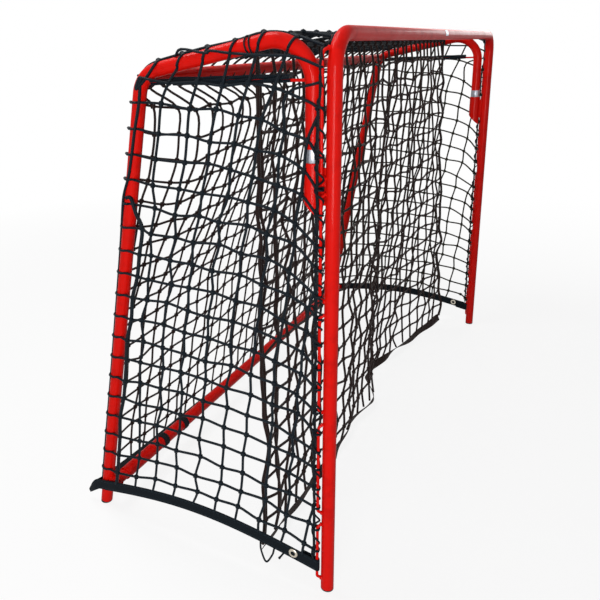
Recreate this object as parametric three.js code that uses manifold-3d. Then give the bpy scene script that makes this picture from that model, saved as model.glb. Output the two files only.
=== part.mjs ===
// A training goal for floorball: a bent front frame, a rear frame of two bent side frames
// and two cross bars, an outer net with its hem, and a catch net that hangs inside.
// Lengths are in millimetres. While the pieces are made, the floor is z = 0, the posts'
// axes are at y = 0 and the goal's mouth faces -Y. At the end the whole goal is moved
// along Y, so that the origin is on the floor in the middle of its box.
import * as THREE from "three";
import Module from "manifold-3d";

const solids = await Module();
solids.setup();

// Driving dimensions of the mouth and the tubes.
const mouthWidth = 1600;
const mouthHeight = 1150;
const frontTubeRadius = 14;
const rearTubeRadius = 15;
const tubeWall = 1.6;
const frontBendRadius = 62;

// Two pieces that touch on the real goal are drawn this far apart.
const seatGap = 0.3;
// A bar slips over its spigots and elbows with this play.
const slipGap = 0.6;
// A cutting solid runs this far past what it cuts.
const overrun = 60;

// The rear frame, seen from the side: its foot, its rear corner and its stub in the socket.
const rearFootY = 620;
const rearCornerY = 420;
const stubY = 40;
// The side bars start a little above the crossbar's axis and fall to the rear corners.
const stubAboveCrossbar = 9;
const sideBarFall = 72;
const rearBendRadius = 58;
const stubBendRadius = 80;

// Sockets behind the posts.
const socketRadius = 18;
const socketBoreRadius = 15.8;
const socketBelowCrossbar = 227;
const socketDepth = 63;
const socketHeelDrop = 6;
const socketSlant = 36;
const socketDrainRadius = 4;
const webThickness = 5;
const webAboveToe = 26;
const webBelowTop = 9;

// Thin rods that the net is laced to.
const rodRadius = 3.1;
const rodBehind = 18;
const rodPitch = 238;
const rodSpace = 8;
const rodLegRise = 16;
const rodLegBend = 5.5;
const rodFootZ = 20;
const crossbarRodCount = 7;
const crossbarRodBehind = 24;
const crossbarRodDrop = 4;
const crossbarRodsInset = 29;
const cornerRodDrop = 265;
const cornerRodBendDrop = 28;
const cornerRodBend = 12;

// Cross bars at the rear and the short elbows and spigots that they slip over.
const baseBarY = 582;
const baseBarZ = 70;
const baseBarRadius = 16.5;
const elbowBendRadius = 25;
const elbowReach = 78;
const baseBarInset = 36;
const barWall = 2;
const topBarInset = 21;
const spigotReach = 80;
const railDrop = 16;
const railRadius = 3;

// Foot plugs, labels and ties.
const plugFlange = 3;
const plugInsert = 22;
const plugHoleRadius = 3;
const labelWidth = 25;
const labelThickness = 0.45;
const crossbarLabelWidth = 28;
const tieThickness = 2.6;
const tieWidth = 26;
const tiesFromBarEnd = [278, 176];

// Nets and hems.
const netThickness = 3;
const netCord = 5;
const netEdge = 7;
const netOverTube = 14.7;
const hemWidth = 28;
const hemRearZ = 60;
const hemFrontZ = 66;
const hemArch = 35;
const hemSag = 34;
const hemFrontY = 17;
const hemTipReach = 47;
const hemTipZ = 22;
const hemSteps = 10;
const netFrontCornerY = 80;
const netFrontCornerDrop = 42;
const topNetFrontY = 32;
const topNetFoldY = 118;
const topNetCorner = 74;
const eyeletY = 72;
const eyeletRadius = 11;
const eyeletHoleRadius = 5;
const eyeletStandOut = 1.2;

// The catch net that hangs inside.
const catchNetY = 165;
const catchRopeRadius = 4;
const catchKnotRadius = 6;
const catchKnotLength = 4;
const catchHemLowZ = 1.5;
const catchSideGap = 4;

// Cord that leaves the near hem: a hanging loop and a short end.
const cordRadius = 2.2;
const cordSeatGap = 0.8;
const cordLoopFrontY = 118;
const cordLoopRearY = 152;
const cordLoopDrop = 46;
const cordEndY = 96;
const cordEndDrop = 15;
const cordEndLean = 9;
// Where along the loop its lowest place lies, and how its two legs bow out.
const cordLoopMiddleShare = 0.6;
const cordLegFrontShare = 0.75;
const cordLegRearShare = 0.9;
const cordLegHeightShare = 0.45;

// Counts of facets, and of the nets' gaps across and up.
const tubeSides = 20;
const elbowSides = 16;
const rodSides = 6;
const cordSides = 8;
const bendSteps = 6;
const elbowSteps = 4;
const rodBendSteps = 2;
const cordLoopSteps = 12;
const cordEndSteps = 2;
const sideNetColumnCount = 4;
const sideNetRowCount = 8;
const wideNetColumnCount = 12;
const backNetRowCount = 8;
const topNetRowCount = 3;
const catchNetRowCount = 7;

// Places that follow from the driving dimensions.
const postX = mouthWidth / 2 + frontTubeRadius;
const crossbarZ = mouthHeight + frontTubeRadius;
const stubCornerZ = crossbarZ + stubAboveCrossbar;
const rearCornerZ = stubCornerZ - sideBarFall;
const socketTopZ = crossbarZ - socketBelowCrossbar;
const socketStopZ = socketTopZ - socketDepth;
const socketHeelZ = socketStopZ - socketHeelDrop;
const socketToeZ = socketHeelZ - socketSlant;
const cornerRodFootZ = crossbarZ - cornerRodDrop;
const postRodCount = Math.round((cornerRodFootZ - rodSpace - rodFootZ) / rodPitch);
const railZ = rearCornerZ - railDrop;
const seatRadius = rearTubeRadius + seatGap;
const elbowRadius = baseBarRadius - barWall - slipGap;
const spigotRadius = rearTubeRadius - tubeWall - slipGap;
// The rods stand out as far as the sockets do, and the side nets hang just outside both.
const rodOutward = socketRadius - rodRadius;
const crossbarRodZ = crossbarZ - crossbarRodDrop;
const sideNetX = postX + socketRadius + seatGap;
const uprightLean = (rearFootY - rearCornerY) / rearCornerZ;
const leanAngle = Math.atan(uprightLean);
const sideRise = (stubCornerZ - rearCornerZ) / (rearCornerY - stubY);
const riseAngle = Math.atan(sideRise);
const stubFootZ = socketStopZ + seatGap;
const sides = [["left", -1], ["right", 1]];

const paint = { red: "#d9190f", black: "#15181c", cord: "#17222b" };

// The y of an upright's axis at a height, and the height of a side bar's axis at a depth.
function uprightY(z) {
  return rearFootY - uprightLean * z;
}

function sideBarZ(y) {
  return stubCornerZ - sideRise * (y - stubY);
}

// A route through corners, each rounded by an arc. Its stations are the start, the ends and
// steps of every arc, and the end, so that straight stretches take no facets.
class BentRoute extends THREE.Curve {
  constructor(corners, radii, stepsPerBend) {
    super();
    this.stations = [];
    const lastCorner = corners.length - 1;
    const heading = (from, to) => to.clone().sub(from).normalize();
    this.stations.push({ point: corners[0], tangent: heading(corners[0], corners[1]) });
    for (let i = 1; i < lastCorner; i += 1) {
      this.addBend(corners[i], heading(corners[i - 1], corners[i]),
        heading(corners[i], corners[i + 1]), radii[i - 1], stepsPerBend);
    }
    this.stations.push({
      point: corners[lastCorner],
      tangent: heading(corners[lastCorner - 1], corners[lastCorner]),
    });
    this.steps = this.stations.length - 1;
  }

  addBend(corner, headingIn, headingOut, radius, steps) {
    const turn = headingIn.angleTo(headingOut);
    const start = corner.clone().addScaledVector(headingIn, -radius * Math.tan(turn / 2));
    const axis = headingIn.clone().cross(headingOut).normalize();
    const inward = axis.clone().cross(headingIn);
    const centre = start.clone().addScaledVector(inward, radius);
    for (let i = 0; i <= steps; i += 1) {
      const angle = turn * i / steps;
      const arm = inward.clone().multiplyScalar(-radius).applyAxisAngle(axis, angle);
      this.stations.push({
        point: centre.clone().add(arm),
        tangent: headingIn.clone().applyAxisAngle(axis, angle),
      });
    }
  }

  between(name, t, target) {
    const place = t * this.steps;
    const index = Math.min(Math.floor(place), this.steps - 1);
    return target.lerpVectors(this.stations[index][name], this.stations[index + 1][name], place - index);
  }

  getPoint(t, target = new THREE.Vector3()) {
    return this.between("point", t, target);
  }

  getPointAt(t, target = new THREE.Vector3()) {
    return this.between("point", t, target);
  }

  getTangentAt(t, target = new THREE.Vector3()) {
    return this.between("tangent", t, target).normalize();
  }
}

function ringShape(outerRadius, innerRadius) {
  const shape = new THREE.Shape().absarc(0, 0, outerRadius, 0, 2 * Math.PI, false);
  if (innerRadius > 0) {
    shape.holes.push(new THREE.Path().absarc(0, 0, innerRadius, 0, 2 * Math.PI, true));
  }
  return shape;
}

function tubeAlong(route, outerRadius, innerRadius, facets) {
  return new THREE.ExtrudeGeometry(ringShape(outerRadius, innerRadius), {
    extrudePath: route,
    steps: route.steps,
    curveSegments: facets / 2,
  });
}

// A straight tube from one point to another.
function straightTube(from, to, outerRadius, innerRadius, facets) {
  return tubeAlong(new BentRoute([from, to], [], 1), outerRadius, innerRadius, facets);
}

function point(x, y, z) {
  return new THREE.Vector3(x, y, z);
}

// Between three.js geometry and the solids that are cut and joined.
function toSolid(geometry) {
  const flat = geometry.index ? geometry.toNonIndexed() : geometry;
  const places = flat.getAttribute("position");
  const mesh = new solids.Mesh({
    numProp: 3,
    vertProperties: Float32Array.from(places.array),
    triVerts: Uint32Array.from({ length: places.count }, (_, i) => i),
  });
  mesh.merge();
  return new solids.Manifold(mesh);
}

function toGeometry(solid) {
  const mesh = solid.getMesh();
  const geometry = new THREE.BufferGeometry();
  geometry.setAttribute("position", new THREE.BufferAttribute(mesh.vertProperties, mesh.numProp));
  geometry.setIndex(new THREE.BufferAttribute(mesh.triVerts, 1));
  geometry.computeVertexNormals();
  return geometry;
}

function boxBetween(low, high) {
  const size = high.clone().sub(low);
  const middle = high.clone().add(low).multiplyScalar(0.5);
  return toSolid(new THREE.BoxGeometry(size.x, size.y, size.z).translate(middle.x, middle.y, middle.z));
}

const goal = new THREE.Group();
goal.name = "floorball_goal";

function addPiece(name, geometry, colour, roughness, metalness) {
  const look = new THREE.MeshStandardMaterial({ color: colour, roughness, metalness });
  const piece = new THREE.Mesh(geometry, look);
  piece.name = name;
  goal.add(piece);
  return piece;
}

function addPainted(name, geometry) {
  return addPiece(name, geometry, paint.red, 0.3, 0.1);
}

function addPlastic(name, geometry) {
  return addPiece(name, geometry, paint.black, 0.6, 0);
}

function addCord(name, geometry) {
  return addPiece(name, geometry, paint.cord, 0.9, 0);
}

function addLabel(name, geometry) {
  return addPiece(name, geometry, "#c4c8cc", 0.35, 0.6);
}

// The front frame is one tube, bent at its two top corners.
function frontRoute() {
  const footZ = plugFlange + seatGap;
  const corners = [
    point(-postX, 0, footZ), point(-postX, 0, crossbarZ),
    point(postX, 0, crossbarZ), point(postX, 0, footZ),
  ];
  return new BentRoute(corners, [frontBendRadius, frontBendRadius], bendSteps);
}

function frontFrame() {
  return tubeAlong(frontRoute(), frontTubeRadius, frontTubeRadius - tubeWall, tubeSides);
}

// A side frame is one tube: a leaning upright, a bar that rises to the front, and a stub
// that stands in the socket.
function sideRoute(x, footZ, stubZ) {
  const corners = [
    point(x, uprightY(footZ), footZ), point(x, rearCornerY, rearCornerZ),
    point(x, stubY, stubCornerZ), point(x, stubY, stubZ),
  ];
  return new BentRoute(corners, [rearBendRadius, stubBendRadius], bendSteps);
}

function slab(lowZ, highZ) {
  const reach = mouthWidth;
  return boxBetween(point(-reach, -reach, lowZ), point(reach, reach, highZ));
}

function sideFrame(x) {
  const route = sideRoute(x, -overrun, stubFootZ);
  const tube = toSolid(tubeAlong(route, rearTubeRadius, rearTubeRadius - tubeWall, tubeSides));
  return toGeometry(tube.subtract(slab(-2 * overrun, plugFlange + seatGap)));
}

// What a piece is cut back by where it meets a side frame.
function sideSeat(x) {
  return toSolid(tubeAlong(sideRoute(x, -overrun, stubFootZ), seatRadius, 0, tubeSides));
}

// A plug closes a tube's foot: a flange on the floor and an insert inside the tube, which
// leans as the tube does. A small hole runs through both.
function footPlug(x, y, lean, tubeRadius) {
  const insertRadius = tubeRadius - tubeWall - seatGap;
  const axisAt = (z) => point(x, y - lean * z, z);
  const pillar = (radius) => toSolid(straightTube(axisAt(-overrun), axisAt(overrun), radius, 0, tubeSides));
  const flange = pillar(tubeRadius).intersect(slab(0, plugFlange));
  const insert = pillar(insertRadius).intersect(slab(0, plugFlange + plugInsert));
  return toGeometry(flange.add(insert).subtract(pillar(plugHoleRadius)));
}

// A rod's two legs slope in to the axis of the frame and are cut back to the tube's skin, so
// that the legs of two neighbours make a V.
const frontSeat = toSolid(tubeAlong(frontRoute(), frontTubeRadius + seatGap, 0, tubeSides));

function rodAlong(corners, bends) {
  const route = new BentRoute(corners, bends, rodBendSteps);
  return toGeometry(toSolid(tubeAlong(route, rodRadius, 0, rodSides)).subtract(frontSeat));
}

function postRod(side, lowZ, highZ) {
  const rodX = side * (postX + rodOutward);
  const corners = [
    point(side * postX, 0, lowZ), point(rodX, rodBehind, lowZ + rodLegRise),
    point(rodX, rodBehind, highZ - rodLegRise), point(side * postX, 0, highZ),
  ];
  return rodAlong(corners, [rodLegBend, rodLegBend]);
}

// The place on the upper part of the front frame's axis that lies x from its middle.
function frameAxis(x) {
  const straight = postX - frontBendRadius;
  const over = Math.max(Math.abs(x) - straight, 0);
  return point(x, 0, crossbarZ - frontBendRadius + Math.sqrt(frontBendRadius ** 2 - over ** 2));
}

function crossbarRod(lowX, highX) {
  const corners = [
    frameAxis(lowX), point(lowX + rodLegRise, crossbarRodBehind, crossbarRodZ),
    point(highX - rodLegRise, crossbarRodBehind, crossbarRodZ), frameAxis(highX),
  ];
  return rodAlong(corners, [rodLegBend, rodLegBend]);
}

// The corner rod is the uppermost on its post. Its top leg goes to the middle of the
// frame's bend.
function cornerRod(side) {
  const rodX = side * (postX + rodOutward);
  const middle = frontBendRadius * (1 - Math.SQRT1_2);
  const corners = [
    point(side * postX, 0, cornerRodFootZ), point(rodX, rodBehind, cornerRodFootZ + rodLegRise),
    point(rodX, rodBehind, crossbarZ - cornerRodBendDrop), frameAxis(side * (postX - middle)),
  ];
  return rodAlong(corners, [rodLegBend, cornerRodBend]);
}

// A socket is a short tube with a stop inside and a slanted lower end.
function socket(x) {
  const top = point(x, stubY, socketTopZ);
  const low = point(x, stubY, socketToeZ - overrun);
  const outside = toSolid(straightTube(low, top, socketRadius, 0, tubeSides));
  const above = point(x, stubY, socketTopZ + overrun);
  const bore = toSolid(straightTube(point(x, stubY, socketStopZ), above, socketBoreRadius, 0, tubeSides));
  const drain = toSolid(straightTube(low, above, socketDrainRadius, 0, tubeSides));
  const slant = new THREE.Shape();
  slant.moveTo(stubY - socketRadius - overrun, socketToeZ - overrun);
  slant.lineTo(stubY + socketRadius + overrun, socketHeelZ + overrun);
  slant.lineTo(stubY + socketRadius + overrun, socketToeZ - 2 * overrun);
  slant.lineTo(stubY - socketRadius - overrun, socketToeZ - 2 * overrun);
  const wedge = new THREE.ExtrudeGeometry(slant, { depth: 2 * overrun, bevelEnabled: false });
  wedge.applyMatrix4(planeYZ(x - overrun));
  return toGeometry(outside.subtract(bore).subtract(drain).subtract(toSolid(wedge)));
}

// Turns a shape drawn in (y, z) and extruded forward into one that stands in the YZ plane
// from x onward.
function planeYZ(x) {
  const turn = new THREE.Matrix4().makeBasis(point(0, 1, 0), point(0, 0, 1), point(1, 0, 0));
  return turn.setPosition(x, 0, 0);
}

function socketWeb(x) {
  const frontY = frontTubeRadius + seatGap;
  const rearY = stubY - socketRadius - seatGap;
  const low = point(x - webThickness / 2, frontY, socketToeZ + webAboveToe);
  const high = point(x + webThickness / 2, rearY, socketTopZ - webBelowTop);
  return toGeometry(boxBetween(low, high));
}

// A label is a thin band round a tube.
function labelBand(from, to, radius) {
  return straightTube(from, to, radius + labelThickness + seatGap, radius + seatGap, tubeSides);
}

// A base elbow leaves the upright to the front and turns in along the base bar.
function baseElbow(side) {
  const startX = side * postX;
  const corners = [
    point(startX, uprightY(baseBarZ), baseBarZ),
    point(startX, baseBarY, baseBarZ),
    point(side * (postX - elbowReach), baseBarY, baseBarZ),
  ];
  const bend = Math.min(elbowBendRadius, uprightY(baseBarZ) - baseBarY - seatGap);
  const route = new BentRoute(corners, [bend], elbowSteps);
  const elbow = toSolid(tubeAlong(route, elbowRadius, elbowRadius - tubeWall, elbowSides));
  return toGeometry(elbow.subtract(uprightSeat(startX)));
}

function uprightSeat(x) {
  const axisAt = (z) => point(x, uprightY(z), z);
  return toSolid(straightTube(axisAt(0), axisAt(2 * baseBarZ), seatRadius, 0, tubeSides));
}

const baseBarHalfLength = postX - baseBarInset;

function baseBar() {
  const from = point(-baseBarHalfLength, baseBarY, baseBarZ);
  const to = point(baseBarHalfLength, baseBarY, baseBarZ);
  return straightTube(from, to, baseBarRadius, baseBarRadius - barWall, tubeSides);
}

// The rear top bar meets the side frames at the middle of their rear bends.
function rearBendMiddle() {
  const route = sideRoute(0, 0, stubFootZ);
  return route.stations[1 + Math.round(bendSteps / 2)].point;
}

function topSpigot(side) {
  const middle = rearBendMiddle();
  const from = point(side * postX, middle.y, middle.z);
  const to = point(side * (postX - spigotReach), middle.y, middle.z);
  const spigot = toSolid(straightTube(from, to, spigotRadius, spigotRadius - tubeWall, tubeSides));
  return toGeometry(spigot.subtract(sideSeat(side * postX)));
}

function topBar() {
  const middle = rearBendMiddle();
  const halfLength = postX - topBarInset;
  const from = point(-halfLength, middle.y, middle.z);
  const to = point(halfLength, middle.y, middle.z);
  return straightTube(from, to, rearTubeRadius, rearTubeRadius - tubeWall, tubeSides);
}

// The rail runs level below the side bar, from the stub to the rear bend.
function rail(x) {
  const from = point(x, stubY, railZ);
  const to = point(x, rearCornerY, railZ);
  return toGeometry(toSolid(straightTube(from, to, railRadius, 0, rodSides)).subtract(sideSeat(x)));
}

function baseTie(side, fromEnd) {
  const x = side * (baseBarHalfLength - fromEnd);
  const from = point(x - tieWidth / 2, baseBarY, baseBarZ);
  const to = point(x + tieWidth / 2, baseBarY, baseBarZ);
  const innerRadius = baseBarRadius + seatGap;
  return straightTube(from, to, innerRadius + tieThickness, innerRadius, tubeSides);
}

// Nets.

// A net is a flat plate with one gap for each mesh. The gaps fill a patch whose corners
// follow from place(across, up), two shares from 0 to 1, and stay inside the inner outline.
function netPlate(outline, innerOutline, place, columns, rows) {
  const meshes = [];
  for (let column = 0; column < columns; column += 1) {
    for (let row = 0; row < rows; row += 1) {
      const corners = [[0, 0], [1, 0], [1, 1], [0, 1]].map(([right, up]) =>
        place((column + right) / columns, (row + up) / rows));
      meshes.push(prism(shrunk(corners, netCord / 2), -netThickness, 3 * netThickness));
    }
  }
  const inner = prism(innerOutline, -2 * netThickness, 5 * netThickness);
  const cuts = solids.Manifold.union(meshes).intersect(inner);
  return prism(outline, 0, netThickness).subtract(cuts);
}

function prism(outline, start, depth) {
  const block = new THREE.ExtrudeGeometry(new THREE.Shape(outline), { depth, bevelEnabled: false });
  return toSolid(block.translate(0, 0, start));
}

// A four-sided gap drawn in by a margin on every side.
function shrunk(corners, margin) {
  return corners.map((corner, i) => {
    const before = corners[(i + corners.length - 1) % corners.length];
    const after = corners[(i + 1) % corners.length];
    const toBefore = before.clone().sub(corner).normalize();
    const toAfter = after.clone().sub(corner).normalize();
    const slant = Math.abs(toBefore.cross(toAfter));
    return corner.clone().addScaledVector(toBefore.add(toAfter), margin / slant);
  });
}

function mix(from, to, share) {
  return from + (to - from) * share;
}

// The side hem rises in an arch between the rear upright and the post.
function sideHemZ(y) {
  const share = (rearFootY - y) / (rearFootY - hemFrontY);
  return mix(hemRearZ, hemFrontZ, share) + hemArch * Math.sin(Math.PI * share);
}

function hemYs() {
  return Array.from({ length: hemSteps + 1 }, (_, i) => mix(hemFrontY, rearFootY, i / hemSteps));
}

function sideHem(side) {
  const half = hemWidth / 2;
  const upper = hemYs().map((y) => new THREE.Vector2(y, sideHemZ(y) + half));
  const lower = hemYs().map((y) => new THREE.Vector2(y, sideHemZ(y) - half));
  const tip = new THREE.Vector2(rearFootY + hemTipReach, hemTipZ);
  const band = prism([...lower, tip, ...upper.reverse()], 0, netThickness);
  const placed = band.transform(planeYZ(sideNetLowX(side)).toArray());
  return toGeometry(placed.subtract(eyeletHole(side)));
}

function eyeletHole(side) {
  const z = sideHemZ(eyeletY);
  const from = point(side * (sideNetX - overrun), eyeletY, z);
  const to = point(side * (sideNetX + overrun), eyeletY, z);
  return toSolid(straightTube(from, to, eyeletRadius, 0, tubeSides));
}

function sideNetLowX(side) {
  return side > 0 ? sideNetX : -sideNetX - netThickness;
}

// The eyelet is a metal ring set in the hem, a little prouder than the webbing.
function hemEyelet(side) {
  const z = sideHemZ(eyeletY);
  const middleX = side * (sideNetX + netThickness / 2);
  const halfLength = netThickness / 2 + eyeletStandOut;
  const innerX = middleX - side * netThickness / 2;
  const from = point(innerX, eyeletY, z);
  const to = point(middleX + side * halfLength, eyeletY, z);
  return straightTube(from, to, eyeletRadius - seatGap * 2, eyeletHoleRadius, tubeSides);
}

// The outer edge of a bend, seen from the side, between two of its stations.
function bendEdge(route, first, last, standOff) {
  const edge = [];
  for (let i = first; i <= last; i += 1) {
    const { point: place, tangent } = route.stations[i];
    edge.push(new THREE.Vector2(place.y + tangent.z * standOff, place.z - tangent.y * standOff));
  }
  return edge;
}

// The side net reaches from the post's rods to the outer line of the upright and the side bar.
function sideNetOutline(margin) {
  const standOff = netOverTube - margin;
  const route = sideRoute(0, 0, stubFootZ);
  const rearEdge = bendEdge(route, 1, 1 + bendSteps, standOff);
  const frontEdge = bendEdge(route, 2 + bendSteps, 2 + 2 * bendSteps, standOff);
  const lower = hemYs().map((y) => new THREE.Vector2(
    Math.max(y, hemFrontY + margin), hemTopZ(y) + margin));
  const rearLow = new THREE.Vector2(rearFootY - margin, hemTopZ(rearFootY) + margin);
  const frontHigh = new THREE.Vector2(hemFrontY + margin, crossbarZ - netFrontCornerDrop - margin);
  return [
    ...lower.slice(0, -1), rearLow, ...rearEdge,
    ...frontEdge.filter((corner) => corner.x > netFrontCornerY), frontHigh,
  ];
}

function hemTopZ(y) {
  return sideHemZ(y) + hemWidth / 2 + seatGap;
}

function sideNet(side) {
  const place = (across, up) => {
    const rearZ = mix(hemTopZ(rearFootY), rearCornerZ, up);
    const y = mix(hemFrontY, uprightY(rearZ) + netOverTube, across);
    return new THREE.Vector2(y, mix(hemTopZ(y), sideBarZ(y) + netOverTube, up));
  };
  const net = netPlate(
    sideNetOutline(0), sideNetOutline(netEdge), place, sideNetColumnCount, sideNetRowCount);
  return toGeometry(net.transform(planeYZ(sideNetLowX(side)).toArray()));
}

// The back net and its hem lie in the plane behind the leaning uprights. They are drawn
// with their second coordinate running up along the lean.
const backHalfWidth = postX + socketRadius;
const backNetTop = Math.hypot(rearCornerZ, rearFootY - rearCornerY) - netEdge;

function leanPlane() {
  const up = point(0, -Math.sin(leanAngle), Math.cos(leanAngle));
  const rearward = point(0, Math.cos(leanAngle), Math.sin(leanAngle));
  const turn = new THREE.Matrix4().makeBasis(point(-1, 0, 0), up, rearward);
  const foot = point(0, rearFootY, 0).addScaledVector(rearward, seatRadius);
  return turn.setPosition(foot);
}

// The back hem sags between the uprights.
function backHemCentre(x) {
  return hemRearZ - hemSag * Math.cos(Math.PI * x / 2 / backHalfWidth);
}

function backHemXs() {
  return Array.from({ length: hemSteps + 1 }, (_, i) => mix(-backHalfWidth, backHalfWidth, i / hemSteps));
}

function backHem() {
  const half = hemWidth / 2;
  const lower = backHemXs().map((x) => new THREE.Vector2(x, backHemCentre(x) - half));
  const upper = backHemXs().map((x) => new THREE.Vector2(x, backHemCentre(x) + half)).reverse();
  return toGeometry(prism([...lower, ...upper], 0, netThickness).transform(leanPlane().toArray()));
}

function backNetOutline(margin) {
  const halfWidth = backHalfWidth - margin;
  const lower = backHemXs().map((x) => new THREE.Vector2(
    THREE.MathUtils.clamp(x, -halfWidth, halfWidth), backHemTop(x) + margin));
  return [
    ...lower,
    new THREE.Vector2(halfWidth, backNetTop - margin),
    new THREE.Vector2(-halfWidth, backNetTop - margin),
  ];
}

function backHemTop(x) {
  return backHemCentre(x) + hemWidth / 2 + seatGap;
}

function backNet() {
  const place = (across, up) => {
    const x = mix(-backHalfWidth, backHalfWidth, across);
    return new THREE.Vector2(x, mix(backHemTop(x), backNetTop, up));
  };
  const net = netPlate(
    backNetOutline(0), backNetOutline(netEdge), place, wideNetColumnCount, backNetRowCount);
  return toGeometry(net.transform(leanPlane().toArray()));
}

// The top net lies on the side bars, folds where these bend down and falls a little from
// there to the crossbar's rods. Each of its two panels is drawn flat, from y = 0 rearward.
function topNet() {
  const above = point(0, Math.sin(riseAngle), Math.cos(riseAngle));
  const rear = point(0, rearBendStartY(), sideBarZ(rearBendStartY())).addScaledVector(above, seatRadius);
  const foldReach = (rear.y - topNetFoldY) / Math.cos(riseAngle);
  const fold = point(0, topNetFoldY, rear.z + foldReach * Math.sin(riseAngle));
  const front = point(0, topNetFrontY, crossbarRodZ + rodRadius + seatGap);
  const rearPanel = topPanel(fold, rear, rearPanelOutline, topNetRowCount - 1);
  const frontPanel = topPanel(front, fold, frontPanelOutline, 1);
  return toGeometry(rearPanel.add(frontPanel));
}

// A panel of the top net between two lines across the goal, laid on both.
function topPanel(front, rear, outline, rows) {
  const depth = front.distanceTo(rear);
  const rearward = rear.clone().sub(front).normalize();
  const above = point(1, 0, 0).cross(rearward);
  const turn = new THREE.Matrix4().makeBasis(point(1, 0, 0), rearward, above).setPosition(front);
  const place = (across, share) => new THREE.Vector2(
    mix(-backHalfWidth, backHalfWidth, across), depth * share);
  const net = netPlate(outline(depth, 0), outline(depth, netEdge / 2), place, wideNetColumnCount, rows);
  return net.transform(turn.toArray());
}

// Each panel reaches past the fold by the net's thickness, so that the two are one.
function rearPanelOutline(depth, margin) {
  const halfWidth = backHalfWidth - 2 * margin;
  return rectangle(-halfWidth, margin - netThickness / 2, halfWidth, depth - 2 * margin);
}

// The front panel's front corners are cut off where the frame bends away from them.
function frontPanelOutline(depth, margin) {
  const halfWidth = backHalfWidth - 2 * margin;
  const frontHalfWidth = backHalfWidth - topNetCorner - margin;
  return [
    new THREE.Vector2(-frontHalfWidth, 2 * margin), new THREE.Vector2(frontHalfWidth, 2 * margin),
    new THREE.Vector2(halfWidth, topNetCorner + margin),
    new THREE.Vector2(halfWidth, depth + netThickness / 2 - margin),
    new THREE.Vector2(-halfWidth, depth + netThickness / 2 - margin),
    new THREE.Vector2(-halfWidth, topNetCorner + margin),
  ];
}

function rectangle(lowX, lowY, highX, highY) {
  return [
    new THREE.Vector2(lowX, lowY), new THREE.Vector2(highX, lowY),
    new THREE.Vector2(highX, highY), new THREE.Vector2(lowX, highY),
  ];
}

function rearBendStartY() {
  return sideRoute(0, 0, stubFootZ).stations[1 + bendSteps].point.y;
}

// The catch net hangs from a rope that is knotted to the two side bars.
const knotOuterX = postX - seatRadius;
const ropeHalfLength = knotOuterX - catchKnotLength - seatGap;
const catchRopeZ = sideBarZ(catchNetY);

function catchRope() {
  const from = point(-ropeHalfLength, catchNetY, catchRopeZ);
  const to = point(ropeHalfLength, catchNetY, catchRopeZ);
  return straightTube(from, to, catchRopeRadius, 0, rodSides);
}

function catchKnot(side) {
  const from = point(side * knotOuterX, catchNetY, catchRopeZ);
  const to = point(side * (knotOuterX - catchKnotLength), catchNetY, catchRopeZ);
  return straightTube(from, to, catchKnotRadius, 0, rodSides);
}

const catchHalfWidth = ropeHalfLength - catchSideGap;
const catchHemTopZ = catchHemLowZ + hemWidth;

function catchNetOutline(margin) {
  const lowZ = catchHemTopZ + seatGap + margin;
  const highZ = catchRopeZ - catchRopeRadius - seatGap - margin;
  const halfWidth = catchHalfWidth - margin;
  return rectangle(-halfWidth, lowZ, halfWidth, highZ);
}

function catchNet() {
  const place = (across, up) => new THREE.Vector2(
    mix(-catchHalfWidth, catchHalfWidth, across), mix(catchHemTopZ, catchRopeZ - catchRopeRadius, up));
  const net = netPlate(
    catchNetOutline(0), catchNetOutline(netEdge), place, wideNetColumnCount, catchNetRowCount);
  const turn = new THREE.Matrix4().makeBasis(point(1, 0, 0), point(0, 0, 1), point(0, -1, 0));
  return toGeometry(net.transform(turn.setPosition(0, catchNetY + netThickness / 2, 0).toArray()));
}

function catchHem() {
  const half = netThickness / 2;
  const low = point(-catchHalfWidth, catchNetY - half, catchHemLowZ);
  const high = point(catchHalfWidth, catchNetY + half, catchHemTopZ);
  return toGeometry(boxBetween(low, high));
}

// The cord that hangs from the near hem: a loop, then a short end.
function hemCordX() {
  return -sideNetX - netThickness / 2;
}

function hemLoop() {
  const low = (y) => sideHemZ(y) - hemWidth / 2 - cordSeatGap;
  const x = hemCordX();
  const middleY = mix(cordLoopFrontY, cordLoopRearY, cordLoopMiddleShare);
  const bottomZ = low(middleY) - cordLoopDrop;
  const legPlace = (endY, bow) =>
    point(x, mix(middleY, endY, bow), mix(low(endY), bottomZ, cordLegHeightShare));
  const course = new THREE.CatmullRomCurve3([
    point(x, cordLoopRearY, low(cordLoopRearY)),
    legPlace(cordLoopRearY, cordLegRearShare),
    point(x, middleY, bottomZ),
    legPlace(cordLoopFrontY, cordLegFrontShare),
    point(x, cordLoopFrontY, low(cordLoopFrontY)),
  ]);
  return cordAlong(course, cordLoopSteps);
}

function hemCordEnd() {
  const x = hemCordX();
  const tilt = Math.atan(cordEndLean / cordEndDrop);
  const topZ = sideHemZ(cordEndY) - hemWidth / 2 - seatGap - cordRadius * Math.sin(tilt);
  const course = new THREE.LineCurve3(
    point(x, cordEndY, topZ),
    point(x, cordEndY + cordEndLean, topZ - cordEndDrop),
  );
  return cordAlong(course, cordEndSteps);
}

function cordAlong(course, steps) {
  return new THREE.ExtrudeGeometry(ringShape(cordRadius, 0), {
    extrudePath: course, steps, curveSegments: cordSides / 2,
  });
}

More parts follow.
